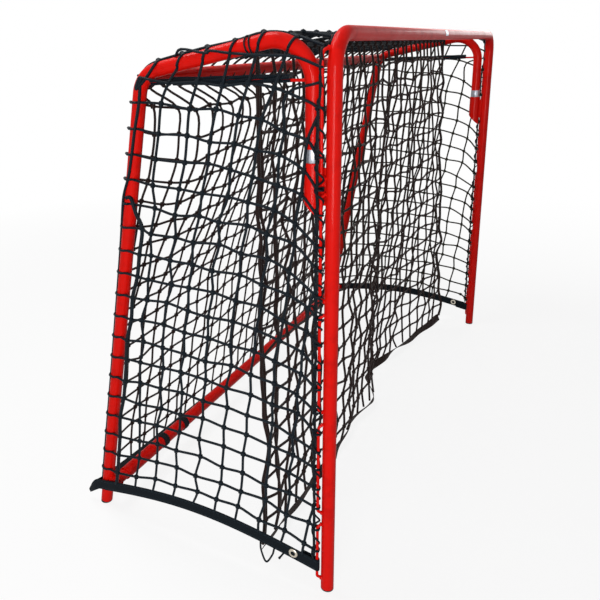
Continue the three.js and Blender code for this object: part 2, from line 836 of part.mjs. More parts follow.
// The front frame with what is welded, plugged or stuck to it.
addPainted("front_frame", frontFrame());
const crossbarLabelEnd = crossbarLabelWidth / 2;
addLabel("crossbar_label", labelBand(
  point(-crossbarLabelEnd, 0, crossbarZ), point(crossbarLabelEnd, 0, crossbarZ), frontTubeRadius));
const crossbarRodsHalf = postX - crossbarRodsInset;
const crossbarRodPitch = 2 * crossbarRodsHalf / crossbarRodCount;
for (let i = 0; i < crossbarRodCount; i += 1) {
  const lowX = i * crossbarRodPitch - crossbarRodsHalf + rodSpace / 2;
  addPainted(`crossbar_rod_${i + 1}`, crossbarRod(lowX, lowX + crossbarRodPitch - rodSpace));
}
for (const [name, side] of sides) {
  const x = side * postX;
  addPlastic(`front_foot_plug_${name}`, footPlug(x, 0, 0, frontTubeRadius));
  addPainted(`corner_rod_${name}`, cornerRod(side));
  for (let i = 0; i < postRodCount; i += 1) {
    const highZ = cornerRodFootZ - rodSpace - i * rodPitch;
    const lowZ = Math.max(highZ - rodPitch + rodSpace, rodFootZ);
    addPainted(`post_rod_${name}_${i + 1}`, postRod(side, lowZ, highZ));
  }
  addPainted(`socket_${name}`, socket(x));
  addPainted(`socket_web_${name}`, socketWeb(x));
}

// The rear frame: side frames, cross bars and what they carry.
addPainted("rear_top_bar", topBar());
addPainted("base_bar", baseBar());
for (const [name, side] of sides) {
  const x = side * postX;
  addPainted(`side_frame_${name}`, sideFrame(x));
  addPlastic(`rear_foot_plug_${name}`, footPlug(x, rearFootY, uprightLean, rearTubeRadius));
  addPainted(`base_elbow_${name}`, baseElbow(side));
  addPainted(`top_spigot_${name}`, topSpigot(side));
  addPainted(`side_rail_${name}`, rail(x));
  const labelFootZ = socketTopZ + seatGap;
  addLabel(`stub_label_${name}`, labelBand(
    point(x, stubY, labelFootZ), point(x, stubY, labelFootZ + labelWidth), rearTubeRadius));
  tiesFromBarEnd.forEach((fromEnd, i) => addCord(`base_tie_${name}_${i + 1}`, baseTie(side, fromEnd)));
  addCord(`side_net_${name}`, sideNet(side));
  addCord(`side_hem_${name}`, sideHem(side));
  addPiece(`hem_eyelet_${name}`, hemEyelet(side), "#b9b6ae", 0.3, 0.9);
  addCord(`catch_knot_${name}`, catchKnot(side));
}
addCord("back_net", backNet());
addCord("back_hem", backHem());
addCord("top_net", topNet());
addCord("hem_cord_loop", hemLoop());
addCord("hem_cord_end", hemCordEnd());

// The catch net.
addCord("catch_rope", catchRope());
addCord("catch_net", catchNet());
addCord("catch_hem", catchHem());

// The origin goes to the middle of the goal's footprint.
goal.updateMatrixWorld(true);
const box = new THREE.Box3().setFromObject(goal);
goal.position.y = -box.getCenter(point(0, 0, 0)).y;

export default goal;
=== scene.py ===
# The looks of a training goal for floorball: smooth painted tubes, wire rods, a knotted net
# with its webbing hem, and a catch net that hangs inside. Lengths are in millimetres while
# the pieces are made, with the posts' axes at y = 0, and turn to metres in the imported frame.
import math

import bpy
import numpy as np
from mathutils import Matrix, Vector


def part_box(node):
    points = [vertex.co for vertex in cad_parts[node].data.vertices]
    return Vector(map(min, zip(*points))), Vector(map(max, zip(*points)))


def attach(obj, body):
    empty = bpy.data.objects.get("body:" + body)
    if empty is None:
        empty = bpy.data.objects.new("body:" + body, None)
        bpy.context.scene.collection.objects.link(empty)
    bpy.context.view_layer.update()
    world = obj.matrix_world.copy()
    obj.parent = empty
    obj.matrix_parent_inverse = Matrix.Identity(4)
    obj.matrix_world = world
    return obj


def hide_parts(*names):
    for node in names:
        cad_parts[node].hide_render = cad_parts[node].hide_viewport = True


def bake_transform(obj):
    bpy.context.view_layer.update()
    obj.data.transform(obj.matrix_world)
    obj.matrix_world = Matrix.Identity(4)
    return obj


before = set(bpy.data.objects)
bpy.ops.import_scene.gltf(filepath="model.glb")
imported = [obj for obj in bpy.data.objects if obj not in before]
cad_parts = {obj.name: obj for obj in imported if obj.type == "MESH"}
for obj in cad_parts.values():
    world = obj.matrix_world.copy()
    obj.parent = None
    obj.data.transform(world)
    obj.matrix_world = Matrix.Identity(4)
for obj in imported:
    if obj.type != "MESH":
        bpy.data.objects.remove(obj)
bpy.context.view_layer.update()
POST_LOW, POST_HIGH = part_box("front_frame")
DEPTH_SHIFT = (POST_LOW.y + POST_HIGH.y) * 500.0
SIDES = (("left", -1), ("right", 1))

# The tubes.
POST_X = 814.0
CROSSBAR_Z = 1164.0
FRONT_RADIUS = 14.0
REAR_RADIUS = 15.0
TUBE_WALL = 1.6
TUBE_ROUND = 0.5
TUBE_INSIDE = 25.0
FRONT_BEND = 62.0
REAR_FOOT_Y = 620.0
REAR_CORNER = (420.0, 1101.0)
STUB_CORNER = (40.0, 1173.0)
REAR_BEND = 58.0
STUB_BEND = 80.0
BEND_STEPS = 14
STUB_FOOT_Z = 874.3
FOOT_Z = 3.3
LEANING_FOOT_Z = 5.9
SEAT_GAP = 0.3
LEAN = (REAR_FOOT_Y - REAR_CORNER[0]) / REAR_CORNER[1]
RISE = (STUB_CORNER[1] - REAR_CORNER[1]) / (REAR_CORNER[0] - STUB_CORNER[0])

# The wire rods behind the front frame.
ROD_RADIUS = 3.1
ROD_BEHIND = 18.0
ROD_OUTWARD = 14.9
ROD_PITCH = 238.0
ROD_SPACE = 8.0
ROD_RISE = 16.0
ROD_BEND = 5.5
ROD_FOOT_Z = 20.0
ROD_SUNK = 0.6
POST_RODS = 4
CORNER_ROD_Z = 899.0
CORNER_ROD_TURN_Z = 1136.0
CORNER_ROD_BEND = 12.0
CROSSBAR_RODS = 7
CROSSBAR_RODS_HALF = 785.0
CROSSBAR_ROD_BEHIND = 24.0
CROSSBAR_ROD_Z = 1160.0

# The sockets and the webs that carry them.
SOCKET_RADIUS = 18.0
SOCKET_BORE = 15.8
SOCKET_TOP = 937.0
SOCKET_STOP = 874.0
SOCKET_TOE = 832.0
DRAIN_RADIUS = 4.0
WEB_Z = (858.0, 928.0)
WEB_HALF = 2.5

# The cross bars, the rails and what is tied and stuck to the tubes.
BASE_BAR = (582.0, 70.0)
BASE_BAR_RADIUS = 16.5
BASE_BAR_WALL = 2.0
BASE_BAR_HALF = 778.0
TOP_BAR_HALF = 793.0
ELBOW_RADIUS = 13.9
ELBOW_REACH = 78.0
ELBOW_BEND = 10.0
SPIGOT_RADIUS = 12.8
SPIGOT_REACH = 80.0
RAIL_Z = 1085.0
RAIL_RADIUS = 3.0
RAIL_REAR_Y = 405.0
BUNDLE_START_Y = 84.0
BUNDLE_ENDS_Y = (396, 342, 330, 352, 338, 396)
BUNDLE_REACH = 5.4
BUNDLE_LIFTED_Y = (84, 200, 300)
BUNDLE_LIFTS = (3.4, 2.2, 0.6)
TIE_PLACES = (500.0, 602.0)
TIE_TURNS = 8.6
TIE_PITCH = 2.68
TIE_CORD_RADIUS = 1.35
LABEL_WIDTH = 25.0
CROSSBAR_LABEL_HALF = 14.0

# The net: cord, mesh and how it lies on the tubes.
CORD_RADIUS = 2.9
STOUT_CORD_RADIUS = 3.3
DOUBLE_CORD_RADIUS = 4.4
SPARE_CORD_RADIUS = 3.2
INNER_CORD_RADIUS = 2.8
CORD_SIDES = 6
KNOT_LENGTH = 4.6
KNOT_DEPTH = 3.9
KNOT_CORD_RADIUS = 2.5
EDGE_CORD_RADIUS = 3.0
LACING_RADIUS = 2.0
LACING_STEP = 2.4
HITCH_CORD_RADIUS = 2.3
HITCH_HALF = 3.4
HITCH_TURNS = 1.7
# How the hitches and the lacing wind round the rods: outward, half as wide and half as deep.
HITCH_COIL = (0.8, 6.6, 7.8)
LACING_COIL = (1.0, 6.2, 8.2)
COIL_BEHIND = 3.4
MESH = 54.8
WRAP = 17.6
LEVEL_WRAP = WRAP * math.hypot(1.0, LEAN)
NET_HALF = 832.0
SIDE_X = 833.8
SIDE_ROWS = 18
ROW_FOOT = 112.0
SIDE_COLUMNS = 10
BAR_CROSSINGS = (380.0, 319.0, 259.0, 199.0, 140.0, 80.0)
BACK_COLUMNS = 30
BACK_PITCH = 55.5
BEND_ROW_SHARE = 0.405
EDGE_OUT = 1.6
EDGE_BEHIND = 7.2
EDGE_Y = ROD_BEHIND + EDGE_BEHIND
# How loose the knots of each net lie: across the goal, in depth and in height.
SIDE_LOOSE = (0.8, 2.2, 2.2)
BACK_LOOSE = (2.6, 1.6, 2.8)
TOP_LOOSE = (2.6, 2.6, 1.2)
CATCH_LOOSE = (3.6, 4.0, 3.6)
EDGE_LOOSE = (0.5, 0.5, 0.5)

# The hems and the draw cord that leaves the near one.
HEM_WIDTH = 28.0
HEM_TIP_WIDTH = 9.0
HEM_THICKNESS = 1.8
HEM_END_Z = 60.0
HEM_RISE = 6.0
HEM_ARCH = 35.0
BACK_HEM_SAG = 34.0
EYELET_Y = 72.0
DRAW_CORD_RADIUS = 2.2

# The catch net.
CATCH_Y = 165.0
CATCH_CORD_RADIUS = 3.3
CATCH_HALF = 787.0
CATCH_KNOTS_HALF = 776.0
CATCH_TOP_Z = 1142.0
CATCH_FOOT_Z = 24.0
CATCH_COLUMNS = 30
CATCH_ROWS = 20
ROPE_RADIUS = 4.0
ROPE_HALF = 794.0
ROPE_SAG = 3.0
ROPE_KNOT_X = 795.4
ROPE_KNOT_WIDTH = 3.6
KNOT_TURNS = 2.2
CATCH_BILLOW = 9.0
CATCH_RIPPLE = 10.0
CATCH_SWAY = 5.0

# The photograph's view, worked out from the posts, the bars and the feet.
CAMERA_PLACE = (-1943.1, -423.1, 1139.5)
CAMERA_YAW = 1.0214
CAMERA_PITCH = 0.2702
CAMERA_ROLL = -0.0358
FOCAL_PIXELS = 659.15
PRINCIPAL_PIXEL = (210.06, 234.71)
FRAME_PIXELS = 600.0
SENSOR = 36.0

# The lamps: name, place in metres, width, height and power in watts. All aim at one point.
LAMPS = (("side_lamp", (-3.2, -0.95, 0.9), 1.3, 1.3, 58.0),
         ("top_lamp", (-0.5, 1.1, 3.1), 1.4, 1.4, 56.0),
         ("right_lamp", (4.0, -0.2, 1.6), 2.0, 1.0, 38.0))
LAMP_AIM = (-0.2, 0.0, 0.6)
ROOM_STRENGTH = 0.16
FLOOR_REACH = 30.0
FLOOR_Z = -0.0003

rng = np.random.default_rng(31)


def place(points):
    """Points in millimetres, with the posts' axes at y = 0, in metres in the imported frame."""
    return (np.asarray(points, float) + (0.0, DEPTH_SHIFT, 0.0)) * 0.001


def unit(vectors):
    vectors = np.asarray(vectors, float)
    return vectors / np.linalg.norm(vectors, axis=-1, keepdims=True)


# Lines and the rings along them.


def bent_line(corners, radii, steps=12):
    """Points and headings of a line through corners, each rounded by an arc."""
    corners = [np.asarray(corner, float) for corner in corners]
    points, headings = [corners[0]], [unit(corners[1] - corners[0])]
    for i, radius in enumerate(radii, 1):
        heading_in = unit(corners[i] - corners[i - 1])
        heading_out = unit(corners[i + 1] - corners[i])
        turn = math.acos(np.clip(heading_in @ heading_out, -1, 1))
        start = corners[i] - heading_in * radius * math.tan(turn / 2)
        inward = unit(heading_out - heading_in * (heading_in @ heading_out))
        for angle in np.linspace(0, turn, steps + 1):
            onward = heading_in * radius * math.sin(angle)
            points.append(start + inward * radius * (1 - math.cos(angle)) + onward)
            headings.append(heading_in * math.cos(angle) + inward * math.sin(angle))
    points.append(corners[-1])
    headings.append(unit(corners[-1] - corners[-2]))
    return np.array(points), np.array(headings)


def smooth_line(points, steps=4):
    """A soft line through points, with that many steps between each two."""
    points = np.asarray(points, float)
    padded = np.vstack([2 * points[0] - points[1], points, 2 * points[-1] - points[-2]])
    before, here, after, later = padded[:-3], padded[1:-2], padded[2:-1], padded[3:]
    t = (np.arange(steps) / steps)[None, :, None]
    before, here, after, later = (p[:, None, :] for p in (before, here, after, later))
    line = 0.5 * (2 * here + (after - before) * t + (2 * before - 5 * here + 4 * after - later) * t ** 2
                  + (3 * here - before - 3 * after + later) * t ** 3)
    return np.vstack([line.reshape(-1, 3), points[-1:]])


def travelled(points):
    """How far along a line each of its points lies."""
    return np.concatenate([[0], np.cumsum(np.linalg.norm(np.diff(points, axis=0), axis=1))])


def full_turn(sides):
    """The cosines and the sines of a full turn in so many steps, each as a column."""
    angles = np.arange(sides) / sides * 2 * math.pi
    return np.cos(angles)[:, None], np.sin(angles)[:, None]


def frames_along(points, headings=None):
    """Two directions across a line at each of its points, turned as little as can be."""
    if headings is None:
        headings = unit(np.gradient(points, axis=0))
    across = np.zeros_like(points)
    first = np.cross(headings[0], (0.0, 0.0, 1.0))
    if np.linalg.norm(first) < 0.1:
        first = np.cross(headings[0], (0.0, 1.0, 0.0))
    normal = unit(first)
    for i, heading in enumerate(headings):
        normal = unit(normal - heading * (normal @ heading))
        across[i] = normal
    return headings, across, np.cross(headings, across)


class Surface:
    """Gathers rings of points into one mesh. UVs run round a ring and, in metres, along it."""

    def __init__(self):
        self.points, self.faces, self.uvs, self.count = [], [], [], 0

    def add_rings(self, rings, along, capped=False, around=None):
        rings = np.asarray(rings, float)
        steps, sides = rings.shape[:2]
        if around is None:
            around = np.arange(sides + 1) / sides
        rows = self.count + np.arange(steps - 1)[:, None] * sides
        here, after = np.arange(sides), (np.arange(sides) + 1) % sides
        quads = np.stack([rows + here, rows + after, rows + after + sides, rows + here + sides], -1)
        self.faces.extend(quads.reshape(-1, 4).tolist())
        low, high = np.repeat(along[:-1], sides), np.repeat(along[1:], sides)
        left, right = np.tile(around[:-1], steps - 1), np.tile(around[1:], steps - 1)
        self.uvs.append(np.stack([left, low, right, low, right, high, left, high], -1).reshape(-1, 2))
        if capped:
            self.faces.append([self.count + i for i in reversed(range(sides))])
            self.faces.append([self.count + (steps - 1) * sides + i for i in range(sides)])
            self.uvs.append(np.zeros((2 * sides, 2)))
        self.points.append(rings.reshape(-1, 3))
        self.count += steps * sides

    def add_tube(self, points, radius, sides, headings=None, ends=(), capped=True):
        """A tube along a line. Each end goes on through (further, radius) rings."""
        points = np.asarray(points, float)
        headings, across, upward = frames_along(points, headings)
        cosines, sines = full_turn(sides)
        circle = cosines * across[:, None, :] + sines * upward[:, None, :]
        radii = np.broadcast_to(radius, len(points))
        rings = list(points[:, None, :] + circle * radii[:, None, None])
        along = list(travelled(points) * 0.001)
        for further, ring_radius in ends:
            rings.insert(0, points[0] - headings[0] * further + circle[0] * ring_radius)
            rings.append(points[-1] + headings[-1] * further + circle[-1] * ring_radius)
            along.insert(0, along[0] - 0.001)
            along.append(along[-1] + 0.001)
        self.add_rings(rings, np.array(along), capped)

    def add_turned(self, centre, axis, profile, sides=40):
        """A profile of (further, radius) pairs turned round an axis."""
        axis = unit(axis)
        across = unit(np.cross(axis, (0.0, 1.0, 0.0)))
        cosines, sines = full_turn(sides)
        circle = cosines * across + sines * np.cross(axis, across)
        rings = [np.asarray(centre) + axis * further + circle * radius for further, radius in profile]
        self.add_rings(rings, np.arange(len(rings)) * 0.001)

    def add_band(self, centre, upward, width, thickness, columns=6):
        """A flat band along a line, its width along `upward`. UVs across it are in metres."""
        centre = np.asarray(centre, float)
        headings = unit(np.gradient(centre, axis=0))
        upward = unit(upward - headings * np.sum(upward * headings, axis=1, keepdims=True))
        outward = np.cross(headings, upward)
        width = np.broadcast_to(width, len(centre))
        shares = np.linspace(-0.5, 0.5, columns + 1)
        edge = np.where(np.abs(shares) > 0.49, 0.3, 0.5)
        faces = [(share, -depth) for share, depth in zip(shares, edge)]
        faces += [(share, depth) for share, depth in zip(shares[::-1], edge[::-1])]
        rings = [centre + upward * (share * width)[:, None] + outward * depth * thickness
                 for share, depth in faces]
        around = np.array([share for share, _ in faces] + [shares[0]]) * HEM_WIDTH * 0.001
        self.add_rings(np.stack(rings, 1), travelled(centre) * 0.001, True, around)


def make_piece(name, surface, material, body, nodes=(), crease=38.0):
    """A mesh piece that rides on a body and stands for CAD nodes."""
    mesh = bpy.data.meshes.new(name)
    mesh.from_pydata(place(np.concatenate(surface.points)).tolist(), [], surface.faces)
    uvs = mesh.uv_layers.new(name="UVMap")
    uvs.data.foreach_set("uv", np.concatenate(surface.uvs).astype(np.float32).ravel())
    mesh.materials.append(material)
    mesh.shade_smooth()
    mesh.set_sharp_from_angle(angle=math.radians(crease))
    piece = bpy.data.objects.new(name, mesh)
    bpy.context.scene.collection.objects.link(piece)
    if body:
        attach(piece, body)
    if nodes:
        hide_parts(*nodes)
    return piece


# Materials.


def colour(code):
    """A colour written as sRGB hex, in the linear values that shaders take."""
    channels = [int(code[i:i + 2], 16) / 255 for i in (1, 3, 5)]
    return tuple(c / 12.92 if c <= 0.04045 else ((c + 0.055) / 1.055) ** 2.4 for c in channels) + (1.0,)


def new_material(name):
    material = bpy.data.materials.new(name)
    material.use_nodes = True
    tree = material.node_tree
    return material, tree, tree.nodes["Principled BSDF"]


def set_inputs(node, inputs):
    """The values of a node's sockets, or what is linked to them."""
    for key, value in inputs.items():
        if isinstance(value, bpy.types.NodeSocket):
            node.id_data.links.new(value, node.inputs[key])
        else:
            node.inputs[key].default_value = value


def add_node(tree, kind, inputs=None, **settings):
    """One node, with its settings, its sockets' values and what is linked to them."""
    node = tree.nodes.new(kind)
    for name, value in settings.items():
        setattr(node, name, value)
    set_inputs(node, inputs or {})
    return node


def per_metre(millimetres):
    """The scale of a pattern whose marks are so many millimetres apart."""
    return 1000.0 / millimetres


# At a scale of 1, the bands of a wave texture are this far apart.
WAVE_BAND = math.pi / 10


def powder_coat():
    """Gloss polyester powder coat on steel tube: a saturated red skin, hardly waved by its
    orange peel, with faint darker scuffs and a thin clear gloss."""
    material, tree, skin = new_material("gloss_powder_coat_red")
    spot = add_node(tree, "ShaderNodeTexCoord").outputs["Object"]
    # Orange peel has waves of about 3 mm, and scuffs are some 40 mm apart.
    peel = add_node(tree, "ShaderNodeTexNoise", {"Vector": spot, "Scale": per_metre(3.03), "Detail": 1.0})
    scuffs = add_node(tree, "ShaderNodeTexNoise", {
        "Vector": spot, "Scale": per_metre(38.46), "Detail": 5.0, "Roughness": 0.6})
    scuffed = add_node(tree, "ShaderNodeMapRange", {
        "Value": scuffs.outputs["Fac"], "From Min": 0.52, "From Max": 0.75})
    shade = add_node(tree, "ShaderNodeMix", {
        0: scuffed.outputs["Result"], 6: colour("#da130b"), 7: colour("#c20e08")}, data_type="RGBA")
    dull = add_node(tree, "ShaderNodeMapRange", {
        "Value": scuffs.outputs["Fac"], "From Min": 0.3, "From Max": 0.8, "To Min": 0.4, "To Max": 0.55})
    bump = add_node(tree, "ShaderNodeBump", {
        "Height": peel.outputs["Fac"], "Strength": 0.05, "Distance": 0.0004})
    set_inputs(skin, {
        "Base Color": shade.outputs[2], "Roughness": dull.outputs["Result"], "Normal": bump.outputs["Normal"],
        "IOR": 1.5, "Specular IOR Level": 0.02, "Coat Weight": 0.12, "Coat Roughness": 0.12})
    return material


def braided_cord(name, dark, light, lay):
    """Polyethylene net cord, braided from monofilament: a dark, slightly waxy cord. Its slanted strands
    have a painted highlight on their crests and painted shade between them."""
    material, tree, skin = new_material(name)
    turns = add_node(tree, "ShaderNodeUVMap", uv_map="UVMap").outputs["UV"]
    spot = add_node(tree, "ShaderNodeTexCoord").outputs["Object"]
    # Three strands a turn, each turn `lay` metres long. One unit of the wave is one strand.
    strand = add_node(tree, "ShaderNodeVectorMath", {
        0: turns, 1: (3.0, 3.0 / lay, 0.0)}, operation="DOT_PRODUCT")
    wave = add_node(tree, "ShaderNodeTexWave", {
        "Vector": strand.outputs["Value"], "Scale": WAVE_BAND}, bands_direction="X")
    # Loose fibres make marks some 2 mm apart, and the sun fades patches of about 110 mm.
    fuzz = add_node(tree, "ShaderNodeTexNoise", {"Vector": spot, "Scale": per_metre(2.381), "Detail": 3.0})
    faded = add_node(tree, "ShaderNodeTexNoise", {"Vector": spot, "Scale": per_metre(111.1), "Detail": 2.0})
    # Lighter where the wave crests and the patch is unfaded: a painted highlight on each strand, painted
    # shade in its grooves, and sun fading.
    mixed = add_node(tree, "ShaderNodeMath", {
        0: wave.outputs["Fac"], 1: faded.outputs["Fac"]}, operation="MULTIPLY")
    shade = add_node(tree, "ShaderNodeMix", {
        0: mixed.outputs["Value"], 6: colour(dark), 7: colour(light)}, data_type="RGBA")
    height = add_node(tree, "ShaderNodeMath", {
        0: fuzz.outputs["Fac"], 1: 0.25, 2: wave.outputs["Fac"]}, operation="MULTIPLY_ADD")
    bump = add_node(tree, "ShaderNodeBump", {
        "Height": height.outputs["Value"], "Strength": 0.7, "Distance": 0.0006})
    set_inputs(skin, {
        "Base Color": shade.outputs[2], "Normal": bump.outputs["Normal"], "Roughness": 0.55, "IOR": 1.5,
        "Specular IOR Level": 0.12})
    return material


def woven_webbing(name, dark, light, thread):
    """Polypropylene webbing, woven in ribs and sewn with two rows of stitches: a matt band
    with a fine rib and two lines of lighter thread, whose lighter colour is a painted sheen."""
    material, tree, skin = new_material(name)
    uv = add_node(tree, "ShaderNodeUVMap", uv_map="UVMap").outputs["UV"]
    parts = add_node(tree, "ShaderNodeSeparateXYZ", {"Vector": uv})
    # Ribs are 1.2 mm apart, drawn at 3 mm so that they show, and crossed every 2 mm.
    ribs = add_node(tree, "ShaderNodeTexWave", {
        "Vector": uv, "Scale": WAVE_BAND * per_metre(3)}, bands_direction="X")
    picks = add_node(tree, "ShaderNodeTexWave", {
        "Vector": uv, "Scale": WAVE_BAND * per_metre(2)}, bands_direction="Y")
    weave = add_node(tree, "ShaderNodeMath", {
        0: ribs.outputs["Fac"], 1: picks.outputs["Fac"]}, operation="MULTIPLY")
    # Stitches are 7 mm long and 4 mm apart, in two rows 9 mm from the middle.
    distance = add_node(tree, "ShaderNodeMath", {0: parts.outputs["X"]}, operation="ABSOLUTE")
    row = add_node(tree, "ShaderNodeMath", {
        0: distance.outputs["Value"], 1: 0.009, 2: 0.0009}, operation="COMPARE")
    phase = add_node(tree, "ShaderNodeMath", {0: parts.outputs["Y"], 1: 0.0055}, operation="PINGPONG")
    dash = add_node(tree, "ShaderNodeMath", {
        0: phase.outputs["Value"], 1: 0.002}, operation="GREATER_THAN")
    stitch = add_node(tree, "ShaderNodeMath", {
        0: row.outputs["Value"], 1: dash.outputs["Value"]}, operation="MULTIPLY")
    shade = add_node(tree, "ShaderNodeMix", {
        0: weave.outputs["Value"], 6: colour(dark), 7: colour(light)}, data_type="RGBA")
    # The stitches take the lighter thread colour, a painted sheen.
    sewn = add_node(tree, "ShaderNodeMix", {
        0: stitch.outputs["Value"], 6: shade.outputs[2], 7: colour(thread)}, data_type="RGBA")
    height = add_node(tree, "ShaderNodeMath", {
        0: stitch.outputs["Value"], 1: 1.5, 2: weave.outputs["Value"]}, operation="MULTIPLY_ADD")
    bump = add_node(tree, "ShaderNodeBump", {
        "Height": height.outputs["Value"], "Strength": 0.6, "Distance": 0.0005})
    set_inputs(skin, {
        "Base Color": sewn.outputs[2], "Normal": bump.outputs["Normal"], "Roughness": 0.7,
        "Specular IOR Level": 0.1})
    return material


def moulded_plug():
    """Low-density polyethylene, moulded: a soft black with a dull, slightly grained skin."""
    material, tree, skin = new_material("moulded_polyethylene_black")
    spot = add_node(tree, "ShaderNodeTexCoord").outputs["Object"]
    # The grain of the mould is about 1 mm, and dust lies in specks some 17 mm apart.
    grain = add_node(tree, "ShaderNodeTexNoise", {"Vector": spot, "Scale": per_metre(1.111), "Detail": 4.0})
    dust = add_node(tree, "ShaderNodeTexNoise", {"Vector": spot, "Scale": per_metre(16.67), "Detail": 5.0})
    shade = add_node(tree, "ShaderNodeMix", {
        0: dust.outputs["Fac"], 6: colour("#0f1012"), 7: colour("#26272a")}, data_type="RGBA")
    bump = add_node(tree, "ShaderNodeBump", {
        "Height": grain.outputs["Fac"], "Strength": 0.25, "Distance": 0.0003})
    set_inputs(skin, {"Base Color": shade.outputs[2], "Normal": bump.outputs["Normal"], "Roughness": 0.5})
    return material


def label_film():
    """Polyester film, vapour coated with aluminium: a bare silver band, faintly streaked
    along the tube and worn in small spots."""
    material, tree, skin = new_material("aluminised_film_silver")
    spot = add_node(tree, "ShaderNodeTexCoord").outputs["Object"]
    # Streaks are 1.7 mm apart and ten times as long, and worn spots are some 4 mm apart.
    across, along = per_metre(1.667), per_metre(16.67)
    streaks = add_node(tree, "ShaderNodeMapping", {"Vector": spot, "Scale": (across, across, along)})
    brushed = add_node(tree, "ShaderNodeTexNoise", {
        "Vector": streaks.outputs["Vector"], "Scale": 1.0, "Detail": 3.0})
    spots = add_node(tree, "ShaderNodeTexNoise", {"Vector": spot, "Scale": per_metre(4.167), "Detail": 3.0})
    worn = add_node(tree, "ShaderNodeMapRange", {
        "Value": spots.outputs["Fac"], "From Min": 0.55, "From Max": 0.7})
    shade = add_node(tree, "ShaderNodeMix", {
        0: worn.outputs["Result"], 6: colour("#a9adb6"), 7: colour("#7d818a")}, data_type="RGBA")
    rough = add_node(tree, "ShaderNodeMapRange", {
        "Value": brushed.outputs["Fac"], "To Min": 0.28, "To Max": 0.45})
    set_inputs(skin, {"Base Color": shade.outputs[2], "Roughness": rough.outputs["Result"], "Metallic": 0.7})
    return material


def plated_eyelet():
    """Brass, pressed and nickel plated: a pale warm ring with fine scratches round it."""
    material, tree, skin = new_material("nickel_plated_brass")
    spot = add_node(tree, "ShaderNodeTexCoord").outputs["Object"]
    # Scratches are 0.9 mm apart, far coarser than real ones, so that they show.
    scratches = add_node(tree, "ShaderNodeTexNoise", {
        "Vector": spot, "Scale": per_metre(0.909), "Detail": 3.0})
    shade = add_node(tree, "ShaderNodeMix", {
        0: scratches.outputs["Fac"], 6: colour("#d8d2c4"), 7: colour("#a89f8c")}, data_type="RGBA")
    bump = add_node(tree, "ShaderNodeBump", {
        "Height": scratches.outputs["Fac"], "Strength": 0.1, "Distance": 0.0002})
    set_inputs(skin, {
        "Base Color": shade.outputs[2], "Normal": bump.outputs["Normal"], "Roughness": 0.25, "Metallic": 1.0})
    return material


RED = powder_coat()
NET_CORD = braided_cord("braided_polyethylene_black", "#070f15", "#17232c", 0.014)
# Black cord tinted brown: painted light, the cast that a wooden floor throws on the back net and the catch
# net.
INNER_CORD = braided_cord("braided_polyethylene_black_painted_brown_light", "#140c0b", "#38231f", 0.014)
# Black cord tinted olive: painted light, the greenish cast of the surroundings on the far side net.
FAR_CORD = braided_cord("braided_polyethylene_black_painted_olive_light", "#1a1a14", "#3f3e30", 0.014)
LACING = braided_cord("laid_polypropylene_black", "#090e12", "#1a242b", 0.010)
HEM_WEBBING = woven_webbing("woven_polypropylene_black", "#050b10", "#0e1820", "#18232b")
# The catch net's hem, tinted brown: painted light, the cast of the wooden floor that it lies on.
CATCH_WEBBING = woven_webbing("woven_polypropylene_painted_brown_light", "#160d0b", "#33231e", "#44322b")
PLUG = moulded_plug()
FILM = label_film()
NICKEL = plated_eyelet()


# The steel frame.


def upright_y(z):
    return REAR_FOOT_Y - LEAN * z


def side_bar_z(y):
    return STUB_CORNER[1] - RISE * (y - STUB_CORNER[0])


def pipe(surface, line, radius, sides=48, wall=TUBE_WALL):
    """An open steel tube, with its wall to be seen at both ends."""
    points, headings = line
    inner = radius - wall
    ends = ((TUBE_ROUND, radius - TUBE_ROUND), (TUBE_ROUND, inner), (-TUBE_INSIDE, inner))
    surface.add_tube(points, radius, sides, headings, ends, capped=False)


def side_line(x, foot_z=FOOT_Z):
    corners = [(x, upright_y(foot_z), foot_z), (x, *REAR_CORNER), (x, *STUB_CORNER),
               (x, STUB_CORNER[0], STUB_FOOT_Z)]
    return bent_line(corners, [REAR_BEND, STUB_BEND], BEND_STEPS)


def weld(surface, centre, axis, radius, bead=1.5):
    """A fillet weld: an uneven ring where a rod or a plate meets a tube."""
    axis = unit(axis)
    across = unit(np.cross(axis, (0.0, 1.0, 0.3)))
    upward = np.cross(axis, across)
    angles = np.linspace(0, 2 * math.pi, 21)
    uneven = radius * (1 + 0.06 * np.sin(3 * angles + rng.uniform(0, 6)))
    rightward, rise = (np.cos(angles) * uneven)[:, None] * across, (np.sin(angles) * uneven)[:, None] * upward
    ring = np.asarray(centre) + rightward + rise
    surface.add_tube(ring, bead * (1 + 0.15 * np.sin(5 * angles)), 6, capped=False)


def build_front_frame():
    surface = Surface()
    foot_z = FOOT_Z + TUBE_ROUND
    corners = [(-POST_X, 0, foot_z), (-POST_X, 0, CROSSBAR_Z), (POST_X, 0, CROSSBAR_Z), (POST_X, 0, foot_z)]
    pipe(surface, bent_line(corners, [FRONT_BEND, FRONT_BEND], 20), FRONT_RADIUS, 56)
    make_piece("front_frame_tube", surface, RED, "front", ["front_frame"])


def build_side_frames():
    for name, side in SIDES:
        surface = Surface()
        pipe(surface, side_line(side * POST_X, LEANING_FOOT_Z), REAR_RADIUS, 56)
        make_piece(f"side_frame_tube_{name}", surface, RED, "rear", [f"side_frame_{name}"])


def leg_tip(root, elbow, along):
    """Where a rod's leg that slopes in to the frame's axis at `root` sinks into the tube."""
    leg = np.asarray(elbow, float) - root
    clear = np.linalg.norm(leg - along * (leg @ along))
    return root + leg * (FRONT_RADIUS - ROD_SUNK) / clear


